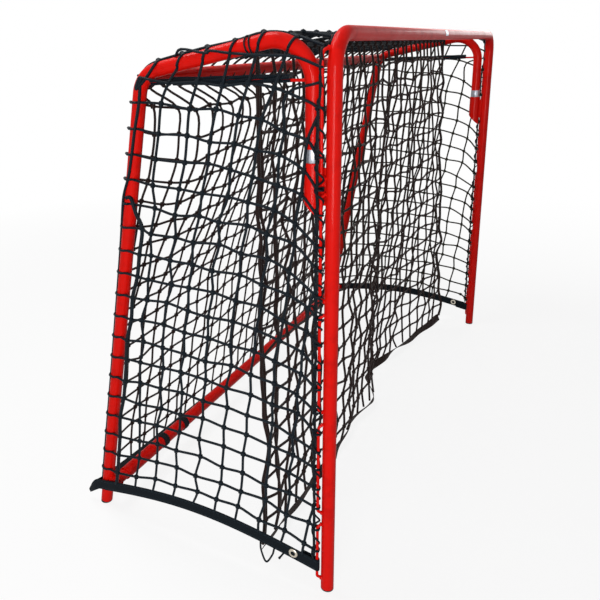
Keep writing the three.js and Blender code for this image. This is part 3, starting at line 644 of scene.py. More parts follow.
def build_rod(name, corners, bends, low_along, high_along):
    """A wire rod whose two legs slope in to the frame, where fillet welds hold them."""
    corners = [np.asarray(corner, float) for corner in corners]
    corners[0] = leg_tip(corners[0], corners[1], unit(low_along))
    corners[-1] = leg_tip(corners[-1], corners[-2], unit(high_along))
    points, headings = bent_line(corners, bends, 6)
    surface = Surface()
    surface.add_tube(points, ROD_RADIUS, 16, headings)
    for tip, heading in ((points[0], headings[0]), (points[-1], -headings[-1])):
        weld(surface, tip + heading * (ROD_SUNK + 1.0), heading, ROD_RADIUS + 0.5, 1.2)
    make_piece(f"{name}_wire", surface, RED, "front", [name])


def build_post_rods(name, side):
    upward = (0, 0, 1)
    post_x, rod_x = side * POST_X, side * (POST_X + ROD_OUTWARD)
    for i in range(POST_RODS):
        high = CORNER_ROD_Z - ROD_SPACE - i * ROD_PITCH
        low = max(high - ROD_PITCH + ROD_SPACE, ROD_FOOT_Z)
        corners = [(post_x, 0, low), (rod_x, ROD_BEHIND, low + ROD_RISE),
                   (rod_x, ROD_BEHIND, high - ROD_RISE), (post_x, 0, high)]
        build_rod(f"post_rod_{name}_{i + 1}", corners, [ROD_BEND, ROD_BEND], upward, upward)
    # The corner rod ends at the middle of the front frame's bend.
    middle = FRONT_BEND * (1 - math.sqrt(0.5))
    corners = [(post_x, 0, CORNER_ROD_Z), (rod_x, ROD_BEHIND, CORNER_ROD_Z + ROD_RISE),
               (rod_x, ROD_BEHIND, CORNER_ROD_TURN_Z), (side * (POST_X - middle), 0, CROSSBAR_Z - middle)]
    build_rod(f"corner_rod_{name}", corners, [ROD_BEND, CORNER_ROD_BEND], upward, (-side, 0, 1))


def bar_axis(x):
    """The place on the upper part of the front frame's axis that lies x from its middle,
    and how the axis runs there."""
    over = max(abs(x) - (POST_X - FRONT_BEND), 0.0)
    up = math.sqrt(FRONT_BEND ** 2 - over ** 2)
    return (x, 0.0, CROSSBAR_Z - FRONT_BEND + up), (up, 0.0, -math.copysign(over, x))


def build_crossbar_rods():
    pitch = 2 * CROSSBAR_RODS_HALF / CROSSBAR_RODS
    for i in range(CROSSBAR_RODS):
        low = i * pitch - CROSSBAR_RODS_HALF + ROD_SPACE / 2
        high = low + pitch - ROD_SPACE
        (left, left_along), (right, right_along) = bar_axis(low), bar_axis(high)
        corners = [left, (low + ROD_RISE, CROSSBAR_ROD_BEHIND, CROSSBAR_ROD_Z),
                   (high - ROD_RISE, CROSSBAR_ROD_BEHIND, CROSSBAR_ROD_Z), right]
        build_rod(f"crossbar_rod_{i + 1}", corners, [ROD_BEND, ROD_BEND], left_along, right_along)


def socket_ring(x, radius, height, slanted):
    """A ring of a socket. A slanted one rises to the rear, as the socket's foot is cut."""
    cosines, sines = full_turn(48)
    ys = STUB_CORNER[0] + radius * sines
    zs = height + (ys - STUB_CORNER[0] + SOCKET_RADIUS if slanted else 0 * ys)
    return np.hstack([x + radius * cosines, ys, zs])


def build_socket_web(name, x):
    """The plate between a post and its socket, with a bead of weld at each of its corners."""
    low, high = WEB_Z
    front, rear = FRONT_RADIUS + SEAT_GAP, STUB_CORNER[0] - SOCKET_RADIUS - SEAT_GAP
    outline = ((-WEB_HALF, front), (WEB_HALF, front), (WEB_HALF, rear), (-WEB_HALF, rear))
    rings = [[(x + dx * grow, y, z) for dx, y in outline]
             for z, grow in ((low, 0.7), (low + 1, 1.0), (high - 1, 1.0), (high, 0.7))]
    surface = Surface()
    surface.add_rings(rings, np.arange(len(rings)) * 0.01, True)
    zs = np.linspace(low, high, 24)
    for dx in (-WEB_HALF - 0.4, WEB_HALF + 0.4):
        for y in (front + 0.8, rear - 0.8):
            bead = np.stack([np.full(24, x + dx), np.full(24, y), zs], -1)
            surface.add_tube(bead, 1.5 + 0.25 * np.sin(zs * 1.7), 8)
    make_piece(f"socket_web_{name}_plate", surface, RED, "front", [f"socket_web_{name}"], 50)


def build_sockets():
    """Each socket is a short tube with a slanted foot, welded to the post through a web.
    Its inside has a stop for the stub, with a drain hole through it."""
    profile = ((DRAIN_RADIUS, SOCKET_STOP, False), (DRAIN_RADIUS, SOCKET_TOE, True),
               (SOCKET_RADIUS - 0.8, SOCKET_TOE, True), (SOCKET_RADIUS, SOCKET_TOE + 0.8, True),
               (SOCKET_RADIUS, SOCKET_TOP - 0.7, False), (SOCKET_RADIUS - 0.7, SOCKET_TOP, False),
               (SOCKET_BORE, SOCKET_TOP, False), (SOCKET_BORE, SOCKET_STOP, False),
               (DRAIN_RADIUS, SOCKET_STOP, False))
    for name, side in SIDES:
        surface = Surface()
        rings = [socket_ring(side * POST_X, *row) for row in profile]
        surface.add_rings(rings, np.arange(len(rings)) * 0.01)
        make_piece(f"socket_tube_{name}", surface, RED, "front", [f"socket_{name}"])
        build_socket_web(name, side * POST_X)


def build_cross_bars():
    """The base bar and the rear top bar, with the elbows and the spigots that carry them."""
    top_bar = side_line(0)[0][1 + BEND_STEPS // 2][1:]
    for name, half, height, radius, wall in (
            ("base_bar", BASE_BAR_HALF, BASE_BAR, BASE_BAR_RADIUS, BASE_BAR_WALL),
            ("rear_top_bar", TOP_BAR_HALF, top_bar, REAR_RADIUS, TUBE_WALL)):
        surface = Surface()
        line = bent_line([(TUBE_ROUND - half, *height), (half - TUBE_ROUND, *height)], [])
        pipe(surface, line, radius, wall=wall)
        make_piece(f"{name}_tube", surface, RED, "rear", [name])
    bar_y, bar_z = BASE_BAR
    seat_y = upright_y(bar_z) - REAR_RADIUS
    for name, side in SIDES:
        surface = Surface()
        corners = [(side * POST_X, seat_y - SEAT_GAP, bar_z), (side * POST_X, bar_y, bar_z),
                   (side * (POST_X - ELBOW_REACH), bar_y, bar_z)]
        pipe(surface, bent_line(corners, [ELBOW_BEND], 10), ELBOW_RADIUS, 40)
        weld(surface, (side * POST_X, seat_y - 1.2, bar_z), (0, 1, 0), ELBOW_RADIUS + 0.4, 2.2)
        make_piece(f"base_elbow_tube_{name}", surface, RED, "rear", [f"base_elbow_{name}"])
        surface = Surface()
        seat_x = POST_X - REAR_RADIUS
        corners = [(side * (seat_x - SEAT_GAP), *top_bar), (side * (POST_X - SPIGOT_REACH), *top_bar)]
        pipe(surface, bent_line(corners, []), SPIGOT_RADIUS, 40)
        weld(surface, (side * (seat_x - 1.0), *top_bar), (1, 0, 0), SPIGOT_RADIUS + 0.4, 2.0)
        make_piece(f"top_spigot_tube_{name}", surface, RED, "rear", [f"top_spigot_{name}"])


def build_rails():
    """A thin rail under each side bar. The net's spare cords are bundled along it and
    hide all but a little of it."""
    front_y = STUB_CORNER[0] + REAR_RADIUS
    for name, side in SIDES:
        x = side * POST_X
        surface = Surface()
        surface.add_tube([(x, front_y + 0.4, RAIL_Z), (x, RAIL_REAR_Y, RAIL_Z)], RAIL_RADIUS, 16)
        for y in (front_y + 1, RAIL_REAR_Y):
            weld(surface, (x, y, RAIL_Z), (0, 1, 0), RAIL_RADIUS + 0.4, 1.3)
        make_piece(f"side_rail_rod_{name}", surface, RED, "rear", [f"side_rail_{name}"])
        surface = Surface()
        for strand, end_y in enumerate(BUNDLE_ENDS_Y):
            ys = np.linspace(BUNDLE_START_Y, end_y, 110)
            lift = np.interp(ys, BUNDLE_LIFTED_Y, BUNDLE_LIFTS)
            angle = strand * math.pi / 3 + ys / 90.0 + 0.3 * np.sin(ys / 31.0 + strand)
            reach = BUNDLE_REACH + 0.5 * np.sin(ys / 27.0 + 2 * strand)
            lay = np.stack([x + reach * np.cos(angle), ys, RAIL_Z + lift + reach * np.sin(angle)], -1)
            surface.add_tube(lay, SPARE_CORD_RADIUS, CORD_SIDES)
        make_piece(f"rail_bundle_{name}", surface, NET_CORD, "rear")


def build_plugs():
    """A moulded cap in each foot. The rear ones lean with their uprights."""
    for prefix, y, lean, radius, body in (("front", 0.0, 0.0, FRONT_RADIUS, "front"),
                                          ("rear", REAR_FOOT_Y, LEAN, REAR_RADIUS, "rear")):
        inner = radius - TUBE_WALL - SEAT_GAP
        rim = FOOT_Z - SEAT_GAP
        profile = [(0.0, 3.0), (0.0, radius - 1.6), (0.25, radius - 0.7), (0.8, radius - 0.1), (1.5, radius),
                   (rim - 0.4, radius), (rim - 0.1, radius - 0.3), (rim, inner), (TUBE_INSIDE, inner),
                   (TUBE_INSIDE, 3.0), (0.0, 3.0)]
        for name, side in SIDES:
            surface = Surface()
            surface.add_turned((side * POST_X, y, 0), (0, 0, 1), profile, 48)
            for points in surface.points:
                points[:, 1] -= lean * points[:, 2]
            make_piece(f"{prefix}_foot_plug_cap_{name}", surface, PLUG, body,
                       [f"{prefix}_foot_plug_{name}"])


def build_labels():
    """Plain silver bands: one round each stub, and a small one at the crossbar's middle."""
    under, over = REAR_RADIUS + 0.1, REAR_RADIUS + 0.7
    profile = [(0.0, under), (0.0, over - 0.1), (0.2, over), (LABEL_WIDTH - 0.2, over),
               (LABEL_WIDTH, over - 0.1), (LABEL_WIDTH, under), (0.0, under)]
    for name, side in SIDES:
        surface = Surface()
        centre = (side * POST_X, STUB_CORNER[0], SOCKET_TOP + SEAT_GAP)
        surface.add_turned(centre, (0, 0, 1), profile, 48)
        make_piece(f"stub_band_{name}", surface, FILM, "rear", [f"stub_label_{name}"])
    angles = np.radians(np.linspace(136, 196, 16))
    section = [(FRONT_RADIUS + 0.5, a) for a in angles] + [(FRONT_RADIUS + 0.1, a) for a in angles[::-1]]
    half = CROSSBAR_LABEL_HALF
    rings = [[(x, radius * math.cos(a), CROSSBAR_Z + radius * math.sin(a)) for radius, a in section]
             for x in (-half, 0.2 - half, half - 0.2, half)]
    surface = Surface()
    surface.add_rings(rings, np.arange(len(rings)) * 0.01, True)
    make_piece("crossbar_patch", surface, FILM, "front", ["crossbar_label"])


def build_ties():
    """Each tie is nine turns of thin cord, side by side round the base bar."""
    bar_y, bar_z = BASE_BAR
    turns = np.linspace(0, TIE_TURNS, 140)
    angle, radius = turns * 2 * math.pi, BASE_BAR_RADIUS + TIE_CORD_RADIUS + 0.25
    for name, side in SIDES:
        for i, reach in enumerate(TIE_PLACES):
            xs = side * reach + (turns - TIE_TURNS / 2) * TIE_PITCH
            coil = np.stack([xs, bar_y + radius * np.sin(angle), bar_z + radius * np.cos(angle)], -1)
            surface = Surface()
            surface.add_tube(coil, TIE_CORD_RADIUS, 8)
            make_piece(f"base_tie_winding_{name}_{i + 1}", surface, LACING, "rear",
                       [f"base_tie_{name}_{i + 1}"])


# The net.

# How a side net's rows run, by the height of their foot on the upright: how far they arch
# over the hem, and how far they fall towards the rods, most of it near them.
ARCH_FEET = (112, 166, 221, 276, 331, 386, 440, 550, 700)
ARCHES = (32, 25, 20, 16, 13, 11, 9, 5, 2)
FALL_FEET = (112, 222, 331, 386, 441, 496, 550, 605, 770, 1044)
FALLS = (0, 6, 24, 36, 43, 57, 62, 70, 85, 96)
FALL_DEPTHS = (22, 35, 50, 97, 150, 195, 313, 445)
FALL_SHARES = (1, 0.82, 0.66, 0.46, 0.31, 0.22, 0.12, 0)
# How far a side net's columns lie in front of the upright, at these heights. The first
# column comes out from behind the upright under COLUMN_START_Z.
COLUMN_HEIGHTS = (180, 341, 500, 660, 798, 920, 1030)
COLUMN_REACHES = (
    (39, 38, 39, 46, 50, 50, 50), (100, 91, 77, 78, 74, 70, 68),
    (155, 148, 137, 135, 132, 140, 142), (215, 205, 194, 189, 187, 198, 202),
    (273, 263, 251, 245, 242, 252, 252), (332, 322, 309, 301, 298, 300, 302),
    (387, 375, 363, 357, 354, 352, 351), (446, 434, 420, 411, 406, 400, 396),
    (502, 484, 472, 462, 455, 447, 440), (552, 535, 522, 511, 503, 494, 486))
COLUMN_FOOT_Z = 90.0
COLUMN_START_Z = 790.0
FAR_COLUMN_PITCH = 57.0
# The row along the rail, under the side bar.
SHOULDER_DEPTHS = (22, 66, 102, 160, 246, 341, 397)
SHOULDER_HEIGHTS = (1038, 1061, 1073, 1081, 1082, 1087, 1094)
# Where the seam between the side and the back net runs round an upright, by height.
SEAM = ((1094, -26), (1044, -33), (990, -20), (934, -12), (885, 0), (840, 45), (790, 68), (740, 80),
        (640, 86), (500, 88), (360, 88), (220, 86), (120, 86), (62, 88))
# The spare netting at the left, by column, and how much of it each row from SLACK_ROW on has.
SLACK_INWARD = (18, 8, -2, -4, -4, -2)
SLACK_FORWARD = (44, 76, 96, 100, 98, 94, 88, 80, 72, 64, 56, 48, 40, 33, 27, 21, 16, 11, 7, 3)
SLACK_ROW = 8
SLACK_SHARES = (0.08, 0.18, 0.3, 0.44, 0.58, 0.72, 0.86, 0.96, 1.0, 0.84)
SLACK_SINK_SHARE = 0.26
# How the line of the rods turns the top corners, and what share of its distance behind the
# rods the net's edge keeps there, by how far along them it is from the corner.
CORNER_EASE = 4.0
CORNER_RUN = 60.0
CORNER_ROUNDS = (16, 20, 30)
CORNER_REACHES = (75, 100)
CORNER_SHARES = (0.3, 1.0)
# How the back net sags in the middle: most in its lowest rows, and with some slack in depth.
BACK_SAG = 30.0
BACK_SAG_ROWS = 3.5
BACK_LEAST_SAG = 5.0
BACK_SLACK = 9.0
# The top net, from the crossbar's rods over its fold to the rear bar.
TOP_DEPTHS = (CROSSBAR_ROD_BEHIND, 80, 118, 384)
TOP_HEIGHTS = (1163, 1169, 1174, 1126)
TOP_SAG = 9.0
# Behind the bend of a side bar, the cords that wrap it lean forward to their tops.
WRAP_LEAN = 10.0
WRAP_LEAN_FROM_Y = 100.0


def rods_line():
    """The line of the rods, from the left foot over the crossbar to the right foot, and
    how it runs."""
    rod_x, turn_x = POST_X + ROD_OUTWARD, CROSSBAR_RODS_HALF - ROD_RISE
    left = [(-rod_x, ROD_BEHIND, 0), (-rod_x, ROD_BEHIND, CORNER_ROD_TURN_Z - CORNER_EASE),
            (-turn_x, ROD_BEHIND, CROSSBAR_ROD_Z - CORNER_EASE),
            (CORNER_RUN - turn_x, CROSSBAR_ROD_BEHIND, CROSSBAR_ROD_Z)]
    right = [(-x, y, z) for x, y, z in left[::-1]]
    return bent_line(left + right, [*CORNER_ROUNDS, *CORNER_ROUNDS[::-1]], 8)


ROD_POINTS, ROD_HEADINGS = rods_line()
ROD_TRAVEL = travelled(ROD_POINTS)


def along_rods(values, travel):
    return np.stack([np.interp(travel, ROD_TRAVEL, values[:, i]) for i in range(3)], -1)


def front_edge(travel, outward=EDGE_OUT, behind=EDGE_BEHIND):
    """Points beside the rods: `travel` along them from the left foot, `outward` from them,
    away from the mouth, and `behind` them."""
    travel = np.atleast_1d(np.asarray(travel, float))
    out = unit(np.cross(along_rods(ROD_HEADINGS, travel), (0.0, 1.0, 0.0)))
    points = along_rods(ROD_POINTS, travel) + out * np.reshape(outward, (-1, 1))
    # At the corners it is pulled in, clear of the side frames when they are lifted.
    to_corner = abs(np.minimum(travel, ROD_TRAVEL[-1] - travel) - CORNER_ROD_TURN_Z)
    points[:, 1] += behind * np.interp(to_corner, CORNER_REACHES, CORNER_SHARES)
    return points


def side_travel(side, z):
    """How far along the rods a height on a post lies."""
    return z if side < 0 else ROD_TRAVEL[-1] - z


def crossbar_travel(x):
    """How far along the rods a place on the crossbar lies."""
    return np.interp(x, ROD_POINTS[1:-1, 0], ROD_TRAVEL[1:-1])


def edge_spot(side, z):
    """The place on the net's front edge at a height on a post."""
    return front_edge(side_travel(side, z))[0]


def middle_share(x):
    """1 in the middle of the goal and 0 at its side frames, as a hanging net sags."""
    return np.cos(math.pi * x / 2 / NET_HALF)


def side_hem_z(y):
    """A side hem's height: level at its ends but for a small rise to the front, and arched."""
    share = (REAR_FOOT_Y - y) / (REAR_FOOT_Y - 17.0)
    return HEM_END_Z + HEM_RISE * share + HEM_ARCH * np.sin(math.pi * np.clip(share, 0, 1))


def back_hem_z(x):
    return HEM_END_Z - BACK_HEM_SAG * middle_share(x)


def row_foot(i):
    """The height at which a row of the net passes the upright."""
    return ROW_FOOT + MESH * i


def side_row_z(i, y):
    """The height of a side net's row. The lower rows arch over the hem, and all but the
    lowest fall towards the rods, steeply at the end."""
    foot = row_foot(i)
    share = np.clip((upright_y(foot) - y) / (upright_y(foot) - EDGE_Y), 0, 1)
    arch = np.interp(foot, ARCH_FEET, ARCHES)
    fall = np.interp(foot, FALL_FEET, FALLS)
    return foot + arch * math.sin(math.pi * share) - fall * np.interp(y, FALL_DEPTHS, FALL_SHARES)


def side_column_y(side, k, z):
    """The depth of a side net's column at a height. The far net's columns are even."""
    reach = np.interp(z, COLUMN_HEIGHTS, COLUMN_REACHES[k])
    if side > 0 and k > 1:
        reach = np.interp(z, COLUMN_HEIGHTS, COLUMN_REACHES[1]) + FAR_COLUMN_PITCH * (k - 1)
    return upright_y(z) - reach


def shoulder_z(y):
    """The height of the side net's row that runs along the rail, under the side bar."""
    return np.interp(y, SHOULDER_DEPTHS, SHOULDER_HEIGHTS)


def bar_top(y):
    """A side bar's axis at a depth and the direction that points up and out from it."""
    rise = math.atan(RISE)
    centre_y = STUB_CORNER[0] + STUB_BEND
    if y > centre_y + STUB_BEND * math.sin(rise):
        return side_bar_z(y), math.sin(rise), math.cos(rise)
    centre_z = side_bar_z(centre_y) - STUB_BEND / math.cos(rise)
    up = math.sqrt(STUB_BEND ** 2 - (y - centre_y) ** 2)
    return centre_z + up, (y - centre_y) / STUB_BEND, up / STUB_BEND


def wrap_bar(side, y, angles):
    """Points round a side bar, from its outer face at 0 to its top at 90 degrees. Behind
    its bend they lean forward."""
    z, out_y, out_z = bar_top(y)
    lean = WRAP_LEAN if y > WRAP_LEAN_FROM_Y else 0
    return [(side * (POST_X + WRAP * math.cos(a)), y - lean * math.sin(a) + WRAP * math.sin(a) * out_y,
             z + WRAP * math.sin(a) * out_z) for a in np.radians(angles)]


def wrap_upright(side, z, angles):
    """Points round an upright, from its outer face at 0 to its rear at 90 degrees."""
    return [(side * (POST_X + WRAP * math.cos(a)), upright_y(z) + LEVEL_WRAP * math.sin(a), z)
            for a in np.radians(angles)]


def rear_bend_centre():
    """Depth and height of the point that the rear bends turn round."""
    lean = math.atan(LEAN)
    reach = REAR_BEND * math.tan((math.pi / 2 - lean - math.atan(RISE)) / 2)
    start = np.array([REAR_CORNER[0] + reach * math.sin(lean), REAR_CORNER[1] - reach * math.cos(lean)])
    return start - REAR_BEND * np.array([math.cos(lean), math.sin(lean)])


def rear_bend_point(share):
    """A point of the net over the rear bend, where 0 is its foot and 1 its front end."""
    a = math.atan(LEAN) + share * (math.pi / 2 - math.atan(LEAN) - math.atan(RISE))
    return rear_bend_centre() + (REAR_BEND + WRAP) * np.array([math.cos(a), math.sin(a)])


def loosened(points, loose):
    """Points moved at random, by as much as they lie loose across, in depth and in height."""
    return points + rng.normal(0, 1.0, points.shape) * loose


def add_cord(surface, points, radius=CORD_RADIUS, steps=4):
    surface.add_tube(smooth_line(points, steps), radius, CORD_SIDES)


def coil_round_rods(travel, turns, out, half_width, half_depth):
    """Points of a coil round the rods and the net's edge, after so many turns at each."""
    angle = turns * 2 * math.pi
    return front_edge(travel, out + half_width * np.cos(angle), COIL_BEHIND + half_depth * np.sin(angle))


def add_hitch(surface, travel):
    """A cord's end, wound tight round the net's edge and the rod."""
    spots = travel + np.linspace(-HITCH_HALF, HITCH_HALF, 16)
    coil = coil_round_rods(spots, np.linspace(0, HITCH_TURNS, 16), *HITCH_COIL)
    surface.add_tube(coil, HITCH_CORD_RADIUS, 5)


def add_knot(surface, centre, along, across):
    """A netting knot: two small tight loops where two cords cross."""
    along, across = unit(along), unit(across)
    outward = unit(np.cross(along, across))
    across = np.cross(outward, along)
    angles = np.linspace(0, 2 * math.pi, 9)
    tilt = rng.uniform(0.5, 0.9)
    for first in (along * math.cos(tilt) + across * math.sin(tilt),
                  across * math.cos(tilt) - along * math.sin(tilt)):
        ring = np.asarray(centre) + KNOT_LENGTH * np.cos(angles)[:, None] * first
        ring += KNOT_DEPTH * np.sin(angles)[:, None] * outward
        surface.add_tube(ring, KNOT_CORD_RADIUS, 5, capped=False)


def add_knots(surface, nodes):
    """Knots at a grid of crossings, turned as the cords run."""
    rows = np.gradient(nodes, axis=1)
    columns = np.gradient(nodes, axis=0)
    for i, k in np.ndindex(nodes.shape[:2]):
        if np.isfinite(nodes[i, k]).all():
            along = rows[i, k] if np.isfinite(rows[i, k]).all() else np.array([0.0, 1.0, 0.05])
            across = columns[i, k] if np.isfinite(columns[i, k]).all() else np.array([0.0, 0.05, 1.0])
            add_knot(surface, nodes[i, k], along, across)


def known(nodes):
    """The knots of a row or a column that the net has."""
    return [node for node in nodes if np.isfinite(node).all()]


# The side nets.


def side_nodes(side):
    """The side net's knots, row by row. The last row is the one along the rail."""
    nodes = np.full((SIDE_ROWS + 1, SIDE_COLUMNS, 3), np.nan)
    for i in range(SIDE_ROWS):
        for k in range(SIDE_COLUMNS):
            z = row_foot(i)
            for _ in range(3):
                y = side_column_y(side, k, z)
                z = side_row_z(i, y)
            reached = k > 0 or z < COLUMN_START_Z
            if reached and y > EDGE_Y + 12 and z > side_hem_z(y) + HEM_WIDTH / 2 + 8:
                nodes[i, k] = (side * SIDE_X, y, z)
    for k in range(1, len(BAR_CROSSINGS)):
        y = 0.5 * (BAR_CROSSINGS[k] + nodes[-2, k, 1])
        nodes[-1, k] = (side * SIDE_X, y, shoulder_z(y))
    checker = (np.indices(nodes.shape[:2]).sum(0) % 2 * 2 - 1)[..., None] * (0, 2.0, -1.4)
    return loosened(nodes + checker, SIDE_LOOSE)


def add_side_rows(surface, side, nodes, back_first):
    """Each row runs from the rods along the side and round the upright to the back net."""
    for i in range(SIDE_ROWS):
        travel = side_travel(side, side_row_z(i, EDGE_Y) - 6 + rng.normal(0, 3))
        wrap = wrap_upright(side, row_foot(i), (-40, -8, 25, 58, 90))
        add_cord(surface, [front_edge(travel)[0], *known(nodes[i])[::-1], *wrap, back_first[i]])
        add_hitch(surface, travel)


def side_column_end(side, k, last):
    """How a column goes on after its last knot: to the upright, over the side bar or to
    the rods."""
    if k == 0:
        return [(side * SIDE_X, upright_y(806) - 30, 806), *wrap_upright(side, 838, (-30, 10))]
    if k < len(BAR_CROSSINGS):
        return wrap_bar(side, BAR_CROSSINGS[k], (-40, -10, 20, 55, 90))
    if k == len(BAR_CROSSINGS):
        return [(side * SIDE_X, last[1] - 4, 1061), edge_spot(side, 1082)]
    return [edge_spot(side, last[2] + 44)]


def add_side_columns(surface, side, nodes):
    """Each column rises from the hem. The first, which hugs the upright, is doubled, and a
    column that would have one knot is left out."""
    for k in range(SIDE_COLUMNS):
        column = known(nodes[:, k])
        if len(column) > 1:
            foot_y = side_column_y(side, k, COLUMN_FOOT_Z)
            foot = (side * SIDE_X, foot_y, side_hem_z(foot_y) + HEM_WIDTH / 2 - 4)
            radius = CORD_RADIUS if k else DOUBLE_CORD_RADIUS
            add_cord(surface, [foot, *column, *side_column_end(side, k, column[-1])], radius)


def add_side_edges(surface, side, nodes):
    """The row along the rail, the cord over the side bar, and the seam with the back net."""
    bend = [(side * (POST_X + 17), *(rear_bend_point(share) - (15, 13))) for share in (0.5, 0.2)]
    add_cord(surface, [edge_spot(side, 1038), (side * (SIDE_X - 1), 44, shoulder_z(44)),
                       *known(nodes[-1])[::-1], (side * SIDE_X, 408, 1094), *bend])
    over = [(POST_X + 13, 311, 1147), (POST_X + WRAP, 255, 1138), (POST_X + WRAP, 242, 1142),
            (POST_X + WRAP, 199, 1136), (SIDE_X, 135, 1131), (SIDE_X, 71, 1127)]
    add_cord(surface, [wrap_bar(side, 338, (74,))[0], *[(side * x, y, z) for x, y, z in over],
                       edge_spot(side, 1108)])
    for z in (1038, 1108):
        add_hitch(surface, side_travel(side, z))
    seam = [*wrap_bar(side, BAR_CROSSINGS[0], (90, 55, 20)),
            (side * (POST_X + 16), *(rear_bend_point(0.55) - (18, 19))),
            (side * (POST_X + WRAP), *(rear_bend_point(0.15) - (16, 7)))]
    seam += [wrap_upright(side, z, (angle,))[0] for z, angle in SEAM]
    add_cord(surface, seam, STOUT_CORD_RADIUS)


def build_side_net(side, name, back_first):
    surface = Surface()
    nodes = side_nodes(side)
    add_side_rows(surface, side, nodes, back_first)
    add_side_columns(surface, side, nodes)
    add_side_edges(surface, side, nodes)
    add_knots(surface, nodes)
    # The far net's cord has a painted olive cast of light.
    cord = NET_CORD if side < 0 else FAR_CORD
    return make_piece(f"side_net_knotted_{name}", surface, cord, None, [f"side_net_{name}"], 70)


# The back net and the top net.


def profile_point(i):
    """Depth and height of the back net's row i."""
    if i < SIDE_ROWS:
        return np.array([upright_y(row_foot(i)) + LEVEL_WRAP, row_foot(i)])
    return rear_bend_point(BEND_ROW_SHARE)


def column_x(m):
    return (m - (BACK_COLUMNS - 1) / 2) * BACK_PITCH


def back_nodes():
    nodes = np.zeros((SIDE_ROWS + 1, BACK_COLUMNS, 3))
    for i in range(SIDE_ROWS + 1):
        y, z = profile_point(i)
        for m in range(BACK_COLUMNS):
            x = column_x(m)
            sag = BACK_SAG * math.exp(-i / BACK_SAG_ROWS) + BACK_LEAST_SAG * (i < SIDE_ROWS)
            drop = sag * middle_share(x)
            slack = BACK_SLACK * middle_share(x) * math.sin(math.pi * min(i, SIDE_ROWS - 1) / SIDE_ROWS)
            nodes[i, m] = (x, y + LEAN * drop + slack, z - drop)
    loose = np.ones(nodes.shape) * BACK_LOOSE
    loose[-1] *= 0.5
    # At the left, spare netting beside the upright hangs in under the rear bar.
    for i, share in enumerate(SLACK_SHARES, SLACK_ROW):
        for m, reach in enumerate(SLACK_FORWARD):
            inward = SLACK_INWARD[m] if m < len(SLACK_INWARD) else 0
            nodes[i, m] += share * np.array((inward, -reach, -SLACK_SINK_SHARE * reach))
    rows, columns = np.indices(nodes.shape[:2])
    wave = 3.0 * np.sin(columns * 0.9) * np.cos(rows * 0.6)
    nodes[:-1, :, 1] += wave[:-1] * 0.8
    nodes[:-1, :, 2] += wave[:-1] * 0.7
    return loosened(nodes, loose)


def top_height(x, y):
    """The top net's height: from the crossbar's rods over the bends to the rear bar."""
    share = np.clip((y - TOP_DEPTHS[0]) / (TOP_DEPTHS[-1] - TOP_DEPTHS[0]), 0, 1)
    return np.interp(y, TOP_DEPTHS, TOP_HEIGHTS) - TOP_SAG * middle_share(x) * math.sin(math.pi * share)


def top_nodes():
    nodes = np.zeros((len(BAR_CROSSINGS), BACK_COLUMNS, 3))
    for c, y in enumerate(BAR_CROSSINGS):
        for m in range(BACK_COLUMNS):
            nodes[c, m] = (column_x(m), y + 4, top_height(column_x(m), y))
    nodes[0, :, 1:] = rear_bend_point(1.0)
    return loosened(nodes, TOP_LOOSE)


def add_bar_loops(surface):
    """The loops that tie the back net round the rear top bar."""
    turn = np.radians(np.linspace(0, 360, 11))
    over = rear_bend_point(BEND_ROW_SHARE)
    centre_y, centre_z = over - WRAP * unit(over - rear_bend_centre())
    ys, zs = centre_y + 17.2 * np.cos(turn), centre_z + 17.2 * np.sin(turn)
    for m in range(BACK_COLUMNS):
        xs = column_x(m) + 14 + rng.normal(0, 4) + 5 * np.sin(turn)
        surface.add_tube(np.stack([xs, ys, zs], -1), INNER_CORD_RADIUS, CORD_SIDES, capped=False)


def build_back_net(nodes, over):
    surface = Surface()
    for i in range(SIDE_ROWS + 1):
        end = profile_point(i)
        add_cord(surface, [(-POST_X, *end), *nodes[i], (POST_X, *end)], INNER_CORD_RADIUS)
    for m in range(BACK_COLUMNS):
        x = column_x(m)
        z = back_hem_z(x) + 10
        foot = (x, upright_y(z) + 17.5, z)
        bend = [(x, *rear_bend_point(share)) for share in (0.0, 0.2, 0.6, 0.8)]
        add_cord(surface, [foot, *nodes[:-1, m], *bend[:2], nodes[-1, m], *bend[2:], over[0, m]],
                 INNER_CORD_RADIUS)
    add_bar_loops(surface)
    add_knots(surface, nodes)
    return make_piece("back_net_knotted", surface, INNER_CORD, "rear", ["back_net"], 70)


def build_top_net(nodes):
    surface = Surface()
    for c, y in enumerate(BAR_CROSSINGS):
        left, right = (wrap_bar(side, y, (90,))[0] for side in (-1, 1))
        add_cord(surface, [left, *nodes[c], right], STOUT_CORD_RADIUS)
    for m in range(BACK_COLUMNS):
        travel = crossbar_travel(column_x(m) + rng.normal(0, 3))
        add_cord(surface, [*nodes[:, m], front_edge(travel)[0]], STOUT_CORD_RADIUS)
        add_hitch(surface, travel)
    add_knots(surface, nodes)
    return make_piece("top_net_knotted", surface, NET_CORD, None, ["top_net"], 70)


def build_lacing():
    """The edge cord of the net and the lacing that holds it to the rods."""
    surface = Surface()
    travel = np.arange(88, ROD_TRAVEL[-1] - 86, 14.0)
    add_cord(surface, loosened(front_edge(travel), EDGE_LOOSE), EDGE_CORD_RADIUS, 2)
    travel = np.arange(84, ROD_TRAVEL[-1] - 82, LACING_STEP)
    # A hand pulls the turns unevenly: they are 26 to 62 mm apart.
    pitch = 44 + 12 * np.sin(travel / 160.0) + 6 * np.sin(travel / 61.0)
    coil = coil_round_rods(travel, np.cumsum(LACING_STEP / pitch), *LACING_COIL)
    surface.add_tube(coil, LACING_RADIUS, CORD_SIDES)
    make_piece("rod_lacing", surface, LACING, "front")


# The hems, the eyelets and the draw cord.


